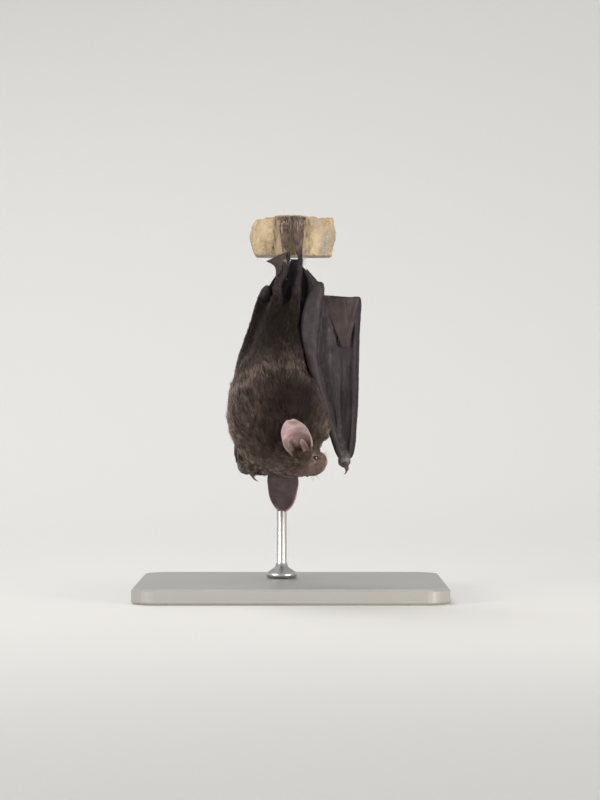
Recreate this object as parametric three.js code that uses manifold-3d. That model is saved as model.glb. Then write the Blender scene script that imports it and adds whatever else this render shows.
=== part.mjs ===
// A small insect-eating bat asleep, head down, on a plain display stand. Life size, millimetres, +Z up.
// The bat hangs by its toes from a short piece of rock. Its back faces -Y and its belly +Y, its left
// wing lies on the +X side, and its head is turned so that the muzzle points along +X.
import * as THREE from "three";
import { mergeVertices } from "three/addons/utils/BufferGeometryUtils.js";
import Module from "manifold-3d";

const wasm = await Module();
wasm.setup();

// ---------------------------------------------------------------- driving dimensions

const GAP = 0.3; // left open between pieces that touch
const FINEST = 0.1; // detail smaller than this is dropped from a cut piece
const BAT_AT = new THREE.Vector3(0, -5, 22); // the bat's own frame: z = 0 is its lowest ear tip

const BASE = { long: 80, deep: 60, thick: 4, corner: 7, bevel: 0.6 };
const ROD = { x: -2.5, y: 12.6, radius: 1.3, foot: 4 }; // x and y in the bat's frame
const ROCK = { x: 0.6, y: 10.6, bottom: 66.5, top: 77, halfWide: 11, halfDeep: 5.4 };

const EAR = { long: 9.6, sunk: 2.0, half: 5.3, root: 0.78, tip: 0.62, flat: 0.4, thick: 0.6 };
// Where the lobe in the mouth of the ear stands is measured from the ear's back.
const TRAGUS = {
  long: 4.4,
  sunk: 0.5,
  halfWide: 0.9,
  narrows: 0.35,
  thick: 0.6,
  ahead: 1.9,
  lean: 0.5,
  aside: 1.3,
};
const EYE = { radius: 0.72, forward: 5.3, out: 3.2, up: 1.0 };
const SNOUT_FROM = 4.0; // where the muzzle is parted from the braincase
const MEMBRANE = 0.65; // thickness of the wing skin in these solids
const CLAW = { thumb: 1.4, toe: 2.0, tip: 0.26 }; // two lengths, and the radius of the blunt tip
const TOES = { count: 5, pitch: 0.62, radius: 0.26 };

const HEAD = {
  at: new THREE.Vector3(0.3, -4, 14.0),
  forward: new THREE.Vector3(0.94, 0.25, -0.3), // where the muzzle points
  left: new THREE.Vector3(0.22, -0.52, 0.82), // where the left ear's side faces
};

const FUR_DARK = 0x2b2421;
const FUR_BROWN = 0x3a302a;
const SKIN_FACE = 0x6d5650;
const SKIN_EAR = 0x5a4648;
const SKIN_WING = 0x3f383c;
const SKIN_ARM = 0x5c5258;
const SKIN_FOOT = 0x7a625c;
const CLAW_HORN = 0x4a4038;

// ---------------------------------------------------------------- making shapes

const vec = (x, y, z) => new THREE.Vector3(x, y, z);
const mix = THREE.MathUtils.lerp;
const smooth = THREE.MathUtils.smoothstep;

/** A row of numbers read at t from 0 to 1 along a list of rows, on one smooth curve. */
function rowAt(rows, t) {
  const last = rows.length - 1;
  const spot = Math.min(Math.max(t, 0) * last, last - 1e-9);
  const i = Math.floor(spot);
  const s = spot - i;
  const [a, b, c, d] = [i - 1, i, i + 1, i + 2].map((k) => rows[Math.min(Math.max(k, 0), last)]);
  return b.map((_, n) => {
    const bend = 2 * a[n] - 5 * b[n] + 4 * c[n] - d[n];
    const turn = 3 * (b[n] - c[n]) + d[n] - a[n];
    return b[n] + 0.5 * s * (c[n] - a[n] + s * (bend + s * turn));
  });
}

/** Turns a mesh round if its faces point inwards. */
function facingOut(points, faces) {
  let volume = 0;
  for (let i = 0; i < faces.length; i += 3) {
    const [p, q, r] = [faces[i], faces[i + 1], faces[i + 2]].map((k) => points[k]);
    volume += p.dot(q.clone().cross(r));
  }
  if (volume < 0) faces.reverse();
  const geometry = new THREE.BufferGeometry().setFromPoints(points);
  geometry.setIndex(faces);
  return geometry;
}

/**
 * A closed round body through rows of [x, y, z, half width, half depth]. Each ring stands square to
 * the path, with its width along `side`. `lobes` gives the ring that many shallow ridges.
 */
function body(rows, { rings = 12, sides = 14, side = vec(1, 0, 0), grow = 0, lobes = 0, ridge = 0.1 } = {}) {
  const points = [];
  const ends = [];
  const faces = [];
  for (let i = 0; i <= rings; i++) {
    const t = i / rings;
    const [x, y, z, wide, deep] = rowAt(rows, t);
    const ahead = rowAt(rows, Math.min(t + 0.01, 1));
    const behind = rowAt(rows, Math.max(t - 0.01, 0));
    const along = vec(ahead[0] - behind[0], ahead[1] - behind[1], ahead[2] - behind[2]).normalize();
    const across = side.clone().addScaledVector(along, -side.dot(along)).normalize();
    const through = along.clone().cross(across);
    for (let j = 0; j < sides; j++) {
      const turn = (j / sides) * Math.PI * 2;
      const swell = 1 + ridge * (lobes ? Math.cos(lobes * turn) : 0);
      points.push(
        vec(x, y, z)
          .addScaledVector(across, (wide + grow) * swell * Math.cos(turn))
          .addScaledVector(through, (deep + grow) * swell * Math.sin(turn)),
      );
    }
    if (i === 0) ends.push(vec(x, y, z).addScaledVector(along, -grow));
    if (i === rings) ends.push(vec(x, y, z).addScaledVector(along, grow));
  }
  points.push(...ends);
  const end = points.length - 1;
  const start = end - 1;
  for (let j = 0; j < sides; j++) {
    const k = (j + 1) % sides;
    faces.push(start, k, j, end, rings * sides + j, rings * sides + k);
    for (let i = 0; i < rings; i++) {
      const [p, q] = [i * sides + j, i * sides + k];
      faces.push(p, q, q + sides, p, q + sides, p + sides);
    }
  }
  return facingOut(points, faces);
}

/** A closed sheet of even thickness round the surface that `at(u, v)` gives for u and v from 0 to 1. */
function sheet(at, { across = 8, along = 10, thick = MEMBRANE, grow = 0 } = {}) {
  const points = [];
  const faces = [];
  const step = 0.01;
  for (const face of [-0.5, 0.5]) {
    for (let i = 0; i <= along; i++) {
      for (let j = 0; j <= across; j++) {
        const u = mix(step, 1 - step, j / across);
        const v = mix(step, 1 - step, i / along);
        const slopeU = at(u + step, v).sub(at(u - step, v));
        const slopeV = at(u, v + step).sub(at(u, v - step));
        const out = slopeU.clone().cross(slopeV).normalize();
        const rimU = Number(j === across) - Number(j === 0);
        const rimV = Number(i === along) - Number(i === 0);
        points.push(
          at(j / across, i / along)
            .addScaledVector(out, face * (thick + 2 * grow))
            .addScaledVector(slopeU.normalize(), rimU * grow)
            .addScaledVector(slopeV.normalize(), rimV * grow),
        );
      }
    }
  }
  const row = across + 1;
  const back = row * (along + 1);
  for (let i = 0; i < along; i++) {
    for (let j = 0; j < across; j++) {
      const p = i * row + j;
      faces.push(p, p + 1, p + row + 1, p, p + row + 1, p + row);
      faces.push(back + p, back + p + row + 1, back + p + 1, back + p, back + p + row, back + p + row + 1);
    }
  }
  const edge = [];
  for (let j = 0; j < across; j++) edge.push(j);
  for (let i = 0; i < along; i++) edge.push(i * row + across);
  for (let j = across; j > 0; j--) edge.push(along * row + j);
  for (let i = along; i > 0; i--) edge.push(i * row);
  edge.forEach((p, n) => {
    const q = edge[(n + 1) % edge.length];
    faces.push(p, back + q, q, p, back + p, back + q);
  });
  return facingOut(points, faces);
}

/** A geometry as a solid that can be joined and cut. */
function solid(geometry) {
  const bare = new THREE.BufferGeometry();
  bare.setAttribute("position", geometry.getAttribute("position"));
  bare.setIndex(geometry.getIndex());
  const merged = mergeVertices(bare, 1e-4);
  const triVerts = new Uint32Array(merged.getIndex().array);
  return new wasm.Manifold(
    new wasm.Mesh({ numProp: 3, vertProperties: merged.getAttribute("position").array, triVerts }),
  );
}

/** What is left of a solid once the others are cut away: its largest piece. */
function carve(from, ...others) {
  const left = others.reduce((rest, other) => rest.subtract(other), from);
  return left.decompose().sort((a, b) => b.volume() - a.volume())[0];
}

const join = (first, ...others) => others.reduce((sum, other) => sum.add(other), first);

/** A solid as a named mesh with its own finish. */
function piece(name, made, color, roughness = 0.9, metalness = 0) {
  const { vertProperties, triVerts } = made.asOriginal().simplify(FINEST).getMesh();
  const geometry = new THREE.BufferGeometry();
  geometry.setAttribute("position", new THREE.BufferAttribute(vertProperties, 3));
  geometry.setIndex(new THREE.BufferAttribute(triVerts, 1));
  geometry.computeVertexNormals();
  const mesh = new THREE.Mesh(geometry, new THREE.MeshStandardMaterial({ color, roughness, metalness }));
  mesh.name = name;
  return mesh;
}

// ---------------------------------------------------------------- head, in its own frame
// Here x runs forward to the nose, y to the bat's left and z to its crown.

const headFrame = new THREE.Matrix4();
{
  const forward = HEAD.forward.clone().normalize();
  const crown = forward.clone().cross(HEAD.left).normalize();
  headFrame.makeBasis(forward, crown.clone().cross(forward), crown).setPosition(HEAD.at);
}

const onHead = (geometry) => solid(geometry.applyMatrix4(headFrame));
const ACROSS = vec(0, 1, 0);

function skull(grow = 0) {
  const rows = [
    [-7.9, 0, -0.4, 0.5, 0.5],
    [-7.2, 0, -0.3, 2.4, 2.2],
    [-5.0, 0, 0.0, 4.6, 4.2],
    [-2.2, 0, 0.2, 5.5, 5.0],
    [0.6, 0, 0.1, 5.6, 4.9],
    [3.2, 0, -0.4, 5.0, 4.2],
    [5.2, 0, -0.9, 4.2, 3.4],
    [7.0, 0, -1.2, 3.5, 2.7],
    [8.6, 0, -1.3, 2.8, 2.1],
    [9.6, 0, -1.4, 1.8, 1.4],
    [9.95, 0, -1.4, 0.5, 0.4],
  ];
  return onHead(body(rows, { rings: 18, sides: 18, side: ACROSS, grow }));
}

function jaw(grow = 0) {
  const rows = [
    [0.8, 0, -4.2, 0.6, 0.4],
    [1.8, 0, -4.2, 2.6, 1.0],
    [4.5, 0, -3.9, 2.8, 1.1],
    [7.0, 0, -3.5, 2.3, 0.9],
    [8.5, 0, -3.1, 1.6, 0.7],
    [9.0, 0, -2.9, 0.4, 0.3],
  ];
  return onHead(body(rows, { rings: 8, sides: 12, side: ACROSS, grow }));
}

/** Stands a shape that grows along z, and opens along x, at an ear's place on the head. */
function atEar(geometry, { root, grow, face }) {
  const up = grow.clone().normalize();
  const ahead = face.clone().addScaledVector(up, -face.dot(up)).normalize();
  const place = new THREE.Matrix4().makeBasis(ahead, up.clone().cross(ahead), up).setPosition(root);
  return onHead(geometry.applyMatrix4(place));
}

/** One ear: a broad funnel at the base that opens into a short, round-tipped blade. */
function ear(place, grow = 0) {
  const shape = (u, v) => {
    const taper = mix(EAR.root, 1, smooth(v, 0, 0.4)) * mix(1, EAR.tip, v);
    const half = EAR.half * taper * Math.sqrt(1 - Math.pow(0.97 * v, 6));
    const curl = place.curl * mix(1, EAR.flat, smooth(v, 0, 0.9));
    const bow = half / curl;
    const angle = (2 * u - 1) * curl;
    return vec(bow * (1 - Math.cos(angle)), bow * Math.sin(angle), mix(-EAR.sunk, EAR.long, v));
  };
  return atEar(sheet(shape, { across: 8, along: 9, thick: EAR.thick, grow }), place);
}

/** The blunt little lobe that stands in the mouth of each ear. */
function tragus(place, grow = 0) {
  const shape = (u, v) => {
    const half = TRAGUS.halfWide * (1 - TRAGUS.narrows * v * v);
    const high = TRAGUS.long * v - TRAGUS.sunk;
    return vec(TRAGUS.ahead + TRAGUS.lean * v, TRAGUS.aside + (2 * u - 1) * half, high);
  };
  return atEar(sheet(shape, { across: 3, along: 6, thick: TRAGUS.thick, grow }), place);
}

function eye(left, grow = 0) {
  const ball = new THREE.SphereGeometry(EYE.radius + grow, 10, 8);
  ball.translate(EYE.forward, left * EYE.out, EYE.up);
  return onHead(ball);
}

/** Each ear's root, the way it grows, the way its mouth faces, and how far it is rolled up there. */
const EAR_SET = {
  left: { root: vec(-0.7, 6.3, 1.4), grow: vec(-0.59, 0.74, 0.29), face: vec(0.12, -0.27, 0.94), curl: 1.45 },
  right: { root: vec(-0.5, -5.9, 0), grow: vec(0.36, -0.89, 0.3), face: vec(0.48, -0.14, -0.89), curl: 0.85 },
};

// ---------------------------------------------------------------- trunk

function torso(grow = 0) {
  const rows = [
    [-5.0, 1.4, 9.0, 1.5, 1.3],
    [-5.0, 1.2, 9.8, 5.2, 4.2],
    [-4.9, 0.8, 12.0, 8.6, 6.4],
    [-4.1, 0.0, 15.8, 11.3, 8.3],
    [-3.5, -0.6, 20.0, 12.8, 9.8],
    [-3.4, -0.7, 23.5, 13.2, 10.3],
    [-3.9, -0.4, 26.5, 13.1, 10.3],
    [-4.6, 0.0, 30.5, 12.0, 9.7],
    [-4.8, 0.5, 34.5, 10.0, 8.8],
    [-4.1, 1.0, 39.0, 7.8, 7.6],
    [-3.4, 1.6, 44.0, 6.2, 6.3],
    [-2.9, 2.2, 49.0, 5.2, 4.9],
    [-2.6, 2.8, 53.0, 3.6, 3.2],
    [-2.4, 3.1, 54.6, 1.2, 1.0],
  ];
  return solid(body(rows, { rings: 20, sides: 18, grow }));
}

// ---------------------------------------------------------------- wings

/** Rows of [x, y, z, half width, half depth] from the elbow down to the wrist, and so on. */
const LEFT = {
  upperArm: [
    [5.2, 3.6, 33, 2.2, 2.2],
    [6.4, 4.2, 41, 2.1, 2.0],
    [7.2, 3.8, 50, 1.5, 1.5],
    [7.6, 3.2, 57.2, 1.2, 1.2],
  ],
  forearm: [
    [7.9, 0.2, 59.2, 0.5, 0.5],
    [7.2, 0.0, 57.8, 1.5, 1.4],
    [5.6, -0.2, 52.5, 2.3, 1.9],
    [4.9, -0.2, 46.0, 2.3, 1.9],
    [5.2, 0.0, 40.5, 1.7, 1.5],
    [6.6, 0.4, 34.0, 1.2, 1.2],
    [8.7, 0.8, 27.5, 1.0, 1.0],
    [10.6, 1.2, 21.0, 0.9, 0.9],
    [12.1, 1.5, 16.3, 0.9, 0.9],
    [13.2, 1.7, 13.9, 0.8, 0.8],
  ],
  wrist: [
    [13.2, 1.8, 15.0, 0.6, 0.6],
    [13.6, 1.8, 13.9, 1.4, 1.3],
    [13.9, 1.8, 12.6, 1.5, 1.3],
    [14.1, 1.6, 11.7, 0.7, 0.6],
  ],
  thumb: [
    [14.0, 0.9, 12.8, 0.4, 0.4],
    [14.2, 0.2, 12.0, 0.5, 0.5],
    [14.4, -0.3, 11.2, 0.46, 0.46],
    [14.4, -0.4, 10.7, 0.3, 0.3],
  ],
  claw: { root: vec(14.4, -0.5, 10.4), reach: vec(-0.1, 0.85, -0.25) },
  fingers: [
    [14.9, 2.8, 14.0, 0.7, 0.8],
    [15.2, 3.0, 16.5, 1.2, 1.4],
    [15.8, 3.2, 25.0, 1.3, 1.6],
    [16.1, 3.3, 35.0, 1.3, 1.7],
    [16.4, 3.2, 45.0, 1.2, 1.6],
    [16.9, 3.0, 53.5, 1.2, 1.5],
    [17.2, 2.9, 55.6, 0.7, 0.8],
  ],
};

const RIGHT = {
  upperArm: [
    [-13.2, 3.4, 32, 2.2, 2.2],
    [-12.0, 3.6, 39, 2.1, 2.0],
    [-9.4, 3.4, 48, 1.5, 1.5],
    [-7.4, 3.0, 55.6, 1.2, 1.2],
  ],
  forearm: [
    [-5.9, 5.4, 58.6, 0.5, 0.5],
    [-6.4, 5.6, 57.0, 1.5, 1.4],
    [-7.8, 6.2, 51.5, 2.1, 1.9],
    [-9.2, 6.6, 45.0, 2.1, 1.9],
    [-10.6, 6.6, 39.0, 1.6, 1.5],
    [-12.2, 6.4, 32.0, 1.2, 1.2],
    [-13.2, 5.8, 25.0, 1.0, 1.0],
    [-13.2, 4.6, 19.0, 0.9, 0.9],
    [-12.5, 2.8, 14.4, 0.9, 0.9],
    [-12.1, 1.8, 12.8, 0.8, 0.8],
  ],
  wrist: [
    [-12.4, 1.8, 14.2, 0.6, 0.6],
    [-12.2, 1.4, 12.9, 1.7, 1.5],
    [-11.6, 0.9, 11.2, 1.8, 1.5],
    [-10.9, 0.5, 10.0, 0.7, 0.6],
  ],
  thumb: [
    [-11.0, 0.0, 11.0, 0.4, 0.4],
    [-10.3, -0.9, 10.2, 0.5, 0.5],
    [-9.8, -1.5, 9.4, 0.42, 0.42],
    [-9.6, -1.7, 8.8, 0.25, 0.25],
  ],
  claw: { root: vec(-9.6, -1.7, 8.7), reach: vec(0.35, 0.7, -0.35) },
  fingers: [
    [-12.9, 3.6, 12.6, 0.7, 0.7],
    [-13.5, 5.8, 15.4, 1.2, 1.2],
    [-12.6, 9.6, 24.0, 1.3, 1.3],
    [-10.6, 11.6, 34.0, 1.3, 1.3],
    [-8.4, 11.4, 43.5, 1.2, 1.2],
    [-6.6, 10.2, 52.0, 1.2, 1.2],
    [-6.2, 9.8, 54.0, 0.7, 0.8],
  ],
};

const pathOf = (rows) => (t) => vec(...rowAt(rows, t).slice(0, 3));

const limb = (rows, options) => (grow) =>
  solid(body(rows, { rings: 2 * rows.length, sides: 10, grow, ...options }));

/** The folded wing skin between the forearm and the fingers, with shallow pleats along it. */
const handMembrane = (arm, reach) => (grow) => {
  const inner = pathOf(arm.forearm);
  const outer = pathOf(arm.fingers);
  const surface = (u, v) => {
    const from = inner(mix(reach[0], reach[1], v));
    const to = outer(mix(0.97, 1 - reach[1], v));
    const pleat = 0.35 * Math.sin(u * Math.PI * 4) * Math.sin(v * Math.PI);
    return from.lerp(to, u).add(vec(0, pleat, 0));
  };
  return solid(sheet(surface, { across: 8, along: 8, grow }));
};

/** The tip of the wing, doubled back from the knuckles over the hand. */
const wingTip = (knuckle, inner, point, lift) => (grow) => {
  const surface = (u, v) => {
    const top = inner.clone().lerp(knuckle, u);
    const low = point.clone().add(vec((u - 0.5) * 1.6, 0, 0));
    return top.lerp(low, v).addScaledVector(lift, 0.5 * Math.sin(Math.PI * u) * (1 - v));
  };
  return solid(sheet(surface, { across: 6, along: 8, grow }));
};

/** A claw: a short hook that narrows from its root. */
function claw(at, length, reach, drop, radius, grow = 0) {
  const rows = [0, 0.35, 0.7, 1].map((t) => [
    at.x + reach.x * t * length,
    at.y + reach.y * t * length,
    at.z + reach.z * t * length - drop * t * t * length,
    mix(radius, CLAW.tip, t),
    mix(radius, CLAW.tip, t),
  ]);
  return body(rows, { rings: 3, sides: 5, grow });
}

// ---------------------------------------------------------------- legs and tail

const LEGS = {
  left: {
    thigh: [
      [-0.6, 2.2, 45.5, 1.6, 1.6],
      [0.4, 0.6, 50.0, 1.9, 1.8],
      [1.2, -0.6, 54.6, 1.3, 1.3],
      [1.3, -0.7, 56.0, 0.6, 0.6],
    ],
    shin: [
      [1.3, 0.0, 56.2, 0.6, 0.6],
      [1.7, 0.4, 57.6, 1.1, 1.1],
      [2.3, 1.9, 62.4, 0.85, 0.85],
      [2.4, 3.2, 66.2, 0.7, 0.7],
      [2.35, 3.5, 67.2, 0.4, 0.4],
    ],
    foot: { x: 2.0, y: 3.5, heel: 67.0, ball: 71.2, tip: 76.8 },
  },
  right: {
    thigh: [
      [-4.6, 2.2, 45.5, 1.6, 1.6],
      [-4.6, 0.4, 50.0, 1.9, 1.8],
      [-4.0, -0.4, 54.6, 1.3, 1.3],
      [-3.8, -0.4, 56.0, 0.6, 0.6],
    ],
    shin: [
      [-3.6, 0.2, 56.2, 0.6, 0.6],
      [-3.2, 0.6, 57.6, 1.1, 1.1],
      [-1.8, 2.1, 62.4, 0.85, 0.85],
      [-1.0, 3.2, 66.2, 0.7, 0.7],
      [-0.9, 3.5, 67.2, 0.4, 0.4],
    ],
    foot: { x: -1.5, y: 3.5, heel: 67.0, ball: 71.2, tip: 76.8 },
  },
};

/** A foot with its five toes and their claws, hooked over the top edge of the rock. */
function foot({ x, y, heel, ball, tip }, grow = 0) {
  const sole = [
    [x, y, heel + 0.3, 0.5, 0.4],
    [x, y + 0.1, heel + 1.0, 0.9, 0.7],
    [x, y + 0.2, mix(heel, ball, 0.6), 1.15, 0.75],
    [x, y + 0.1, ball, 1.3, 0.6],
    [x, y, ball + 0.7, 1.0, 0.35],
  ];
  const parts = [solid(body(sole, { rings: 6, sides: 10, grow }))];
  for (let i = 0; i < TOES.count; i++) {
    const off = (i - (TOES.count - 1) / 2) * TOES.pitch;
    const longest = tip - 0.22 * Math.abs(i - 1.6);
    const toe = [
      [x + off, y + 0.05, ball - 0.6, TOES.radius, TOES.radius],
      [x + off * 1.05, y - 0.1, mix(ball, longest, 0.45), TOES.radius, TOES.radius],
      [x + off * 1.08, y + 0.25, longest - 0.5, TOES.radius, TOES.radius],
      [x + off * 1.08, y + 0.9, longest + 0.15, TOES.radius, TOES.radius],
    ];
    parts.push(solid(body(toe, { rings: 4, sides: 5, grow })));
    const root = vec(x + off * 1.08, y + 0.7, longest + 0.1);
    parts.push(solid(claw(root, CLAW.toe, vec(0, 0.9, 0.3), 0.55, 0.3, grow)));
  }
  return join(...parts);
}

const TAIL = [
  [-2.6, 4.6, 51.0, 0.9, 0.8],
  [-2.3, 6.0, 55.5, 0.85, 0.8],
  [-1.9, 7.8, 59.2, 0.75, 0.7],
  [-1.8, 9.2, 58.4, 0.65, 0.6],
  [-2.2, 9.5, 53.0, 0.55, 0.5],
  [-2.8, 9.3, 46.0, 0.45, 0.4],
  [-3.2, 9.1, 42.5, 0.3, 0.28],
];

/** The tail skin: it hangs between the shins and follows the tail round to the belly side. */
function tailMembrane(grow = 0) {
  const leftShin = pathOf(LEGS.left.shin);
  const rightShin = pathOf(LEGS.right.shin);
  const surface = (u, v) => {
    const from = rightShin(mix(0.15, 0.8, v)).add(vec(0.2, 1.5, 0));
    const to = leftShin(mix(0.15, 0.8, v)).add(vec(-0.2, 1.5, 0));
    const sag = Math.sin(Math.PI * u);
    const drop = 2.4 * (1 - v) + 1.2 * sag * v;
    return from.lerp(to, u).add(vec(0, 1.2 * sag + 0.3 * Math.sin(u * Math.PI * 5), -drop));
  };
  return solid(sheet(surface, { across: 10, along: 6, grow }));
}

/** The loose corner of the tail skin that stands out beside the right ankle. */
function tailFold(grow = 0) {
  const root = [vec(-1.2, 2.2, 67.2), vec(-1.6, 2.2, 61.8)];
  const tips = [vec(-6.4, 1.6, 64.8), vec(-3.6, 2.2, 60.2)];
  const surface = (u, v) => {
    const from = root[0].clone().lerp(root[1], v);
    const to = tips[0].clone().lerp(tips[1], v);
    const notch = 1 - 0.3 * Math.sin(Math.PI * v);
    return from.lerp(to, u * notch).add(vec(0, 0.35 * Math.sin(Math.PI * u * 2) * v, 0));
  };
  return solid(sheet(surface, { across: 5, along: 6, grow }));
}

/**
 * The wing skin between the flank and the forearm of one side. Both edges are rows of [x, y, z],
 * from the ankle down, and `bulge` pushes the middle of the sheet along y.
 */
const armMembrane = (flank, edge, bulge) => (grow) => {
  const surface = (u, v) => {
    const fold = bulge * Math.sin(Math.PI * u) + 0.25 * Math.sin(Math.PI * 4 * u) * Math.sin(Math.PI * v);
    return vec(...rowAt(flank, v)).lerp(vec(...rowAt(edge, v)), u).add(vec(0, fold, 0));
  };
  return solid(sheet(surface, { across: 7, along: 12, grow }));
};

const FLANKS = {
  left: [
    [2.0, 3.6, 63.5],
    [1.6, 3.4, 58.0],
    [1.6, 3.8, 51.0],
    [2.6, 4.0, 44.0],
    [3.6, 4.4, 38.0],
    [5.4, 5.6, 30.0],
  ],
  right: [
    [-1.9, 3.4, 63.5],
    [-3.6, 4.4, 58.0],
    [-4.6, 7.4, 50.0],
    [-5.0, 8.5, 44.0],
    [-6.5, 9.0, 39.0],
    [-8.6, 9.6, 32.0],
  ],
};

const ARM_EDGES = {
  left: [
    [2.9, 1.6, 65.0],
    [5.6, 1.0, 60.4],
    [4.6, 1.4, 52.0],
    [4.4, 1.6, 45.0],
    [4.8, 2.0, 38.0],
    [7.0, 3.0, 31.0],
  ],
  right: [
    [-2.4, 3.6, 64.6],
    [-5.2, 5.0, 60.0],
    [-7.6, 6.9, 51.0],
    [-9.3, 7.4, 44.0],
    [-10.6, 7.4, 39.0],
    [-12.0, 7.2, 32.0],
  ],
};

// ---------------------------------------------------------------- stand and perch

function standBase() {
  const { long, deep, thick, corner, bevel } = BASE;
  const [w, d, r] = [long / 2 - bevel, deep / 2 - bevel, corner - bevel];
  const outline = new THREE.Shape();
  outline.absarc(w - r, d - r, r, 0, Math.PI / 2);
  outline.absarc(-w + r, d - r, r, Math.PI / 2, Math.PI);
  outline.absarc(-w + r, -d + r, r, Math.PI, Math.PI * 1.5);
  outline.absarc(w - r, -d + r, r, Math.PI * 1.5, Math.PI * 2);
  const plate = new THREE.ExtrudeGeometry(outline, {
    depth: thick - 2 * bevel,
    bevelSize: bevel,
    bevelThickness: bevel,
    bevelSegments: 1,
    curveSegments: 5,
  });
  plate.translate(0, 0, bevel);
  return solid(plate);
}

function standRod() {
  const bottom = BASE.thick + GAP;
  const top = BAT_AT.z + ROCK.bottom + 0.2;
  const rows = [
    [0, bottom],
    [ROD.foot, bottom],
    [ROD.foot, bottom + 1.2],
    [ROD.radius + 0.5, bottom + 2.6],
    [ROD.radius, bottom + 4],
    [ROD.radius, top],
    [0, top],
  ];
  const turned = new THREE.LatheGeometry(rows.map(([r, z]) => new THREE.Vector2(r, z)), 20);
  turned.rotateX(Math.PI / 2);
  turned.translate(ROD.x + BAT_AT.x, ROD.y + BAT_AT.y, 0);
  return solid(turned);
}

/** A short broken piece of rock: rough sides, a flat cut underside, and a lip for the claws. */
function rock() {
  const { x, y, bottom, top, halfWide, halfDeep } = ROCK;
  const stone = new THREE.BoxGeometry(2, 2, 2, 7, 4, 4);
  const place = stone.getAttribute("position");
  const spot = vec(0, 0, 0);
  for (let i = 0; i < place.count; i++) {
    spot.fromBufferAttribute(place, i);
    const round = 1 - 0.16 * spot.x * spot.x * (0.6 + spot.y * spot.y * 0.4);
    const rough = Math.sin(spot.x * 5.1 + spot.z * 2.3) + Math.sin(spot.x * 9.7 - spot.y * 4.1 + 1.3);
    const step = spot.z < -0.99 ? 0 : rough;
    const wide = halfWide * spot.x * (1 - 0.1 * Math.abs(spot.z) + 0.02 * step);
    const deep = halfDeep * spot.y * round + 0.28 * step;
    const high = mix(bottom, top, (spot.z + 1) / 2) - 1.1 * spot.x * spot.x * (spot.z + 1) * 0.5 + 0.2 * step;
    place.setXYZ(i, x + wide, y + deep, high);
  }
  return solid(stone);
}

// ---------------------------------------------------------------- putting it together

const root = new THREE.Group();
const stand = new THREE.Group();
const bat = new THREE.Group();
bat.position.copy(BAT_AT);
root.add(stand, bat);

/** The room that each piece already laid takes up, with the gap round it. */
const taken = [];

/** Adds a piece to the bat. It gives way to every piece laid before it. */
function lay(name, make, color, roughness) {
  bat.add(piece(name, carve(make(0), ...taken), color, roughness));
  taken.push(make(GAP));
}

stand.add(piece("stand_base", standBase(), 0x8b8984, 0.5, 0.2));
stand.add(piece("stand_rod", standRod(), 0xb4b4b2, 0.35, 0.9));

for (const [side, left] of [["left", 1], ["right", -1]]) {
  lay(`foot_${side}`, (grow) => foot(LEGS[side].foot, grow), SKIN_FOOT, 0.7);
  lay(`eye_${side}`, (grow) => eye(left, grow), 0x0a0808, 0.1);
}
const rodTop = standRod().translate([-BAT_AT.x, -BAT_AT.y, -BAT_AT.z + GAP]);
const rodRoom = join(rodTop, ...[-GAP, GAP].map((off) => rodTop.translate([off, 0, 0])));
bat.add(piece("perch_rock", carve(rock(), ...taken, rodRoom), 0x9a8464, 0.95));

lay("lower_jaw", jaw, SKIN_FACE, 0.7);
const slab = new THREE.BoxGeometry(GAP, 20, 20);
slab.translate(SNOUT_FROM, 0, 0);
const [braincase, snout] = taken
  .reduce((rest, other) => rest.subtract(other), skull())
  .subtract(onHead(slab))
  .decompose()
  .sort((a, b) => b.volume() - a.volume());
bat.add(piece("head", braincase, FUR_BROWN));
bat.add(piece("muzzle", snout, SKIN_FACE, 0.7));
taken.push(skull(GAP));

for (const side of ["left", "right"]) {
  lay(`ear_${side}`, (grow) => ear(EAR_SET[side], grow), SKIN_EAR, 0.6);
  lay(`tragus_${side}`, (grow) => tragus(EAR_SET[side], grow), SKIN_EAR, 0.6);
}

for (const [side, arm] of [["left", LEFT], ["right", RIGHT]]) {
  const leg = LEGS[side];
  lay(`shin_${side}`, limb(leg.shin), SKIN_WING, 0.7);
  lay(`thigh_${side}`, limb(leg.thigh), FUR_DARK);
  lay(`wrist_${side}`, limb(arm.wrist), SKIN_ARM, 0.5);
  const { root, reach } = arm.claw;
  const hook = (grow) => solid(claw(root, CLAW.thumb, reach, 0.35, 0.34, grow));
  lay(`thumb_claw_${side}`, hook, CLAW_HORN, 0.3);
  lay(`thumb_${side}`, limb(arm.thumb), SKIN_FOOT, 0.6);
  lay(`forearm_${side}`, limb(arm.forearm), SKIN_ARM, 0.6);
  lay(`fingers_${side}`, limb(arm.fingers, { sides: 12, lobes: 4, ridge: 0.1 }), SKIN_WING, 0.6);
  lay(`upper_arm_${side}`, limb(arm.upperArm), FUR_DARK);
}
lay("tail", limb(TAIL), SKIN_WING, 0.7);

const trunk = taken.reduce((rest, other) => rest.subtract(other), torso());
const bands = [
  ["neck", 7, 17],
  ["chest", 17, 33],
  ["abdomen", 33, 44],
  ["rump", 44, 60],
];
for (const [name, low, high] of bands) {
  const band = new THREE.BoxGeometry(60, 60, high - low - GAP);
  band.translate(0, 0, (low + high) / 2);
  const [largest] = trunk.intersect(solid(band)).decompose().sort((a, b) => b.volume() - a.volume());
  bat.add(piece(name, largest, FUR_DARK));
}
taken.push(torso(GAP));

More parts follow.
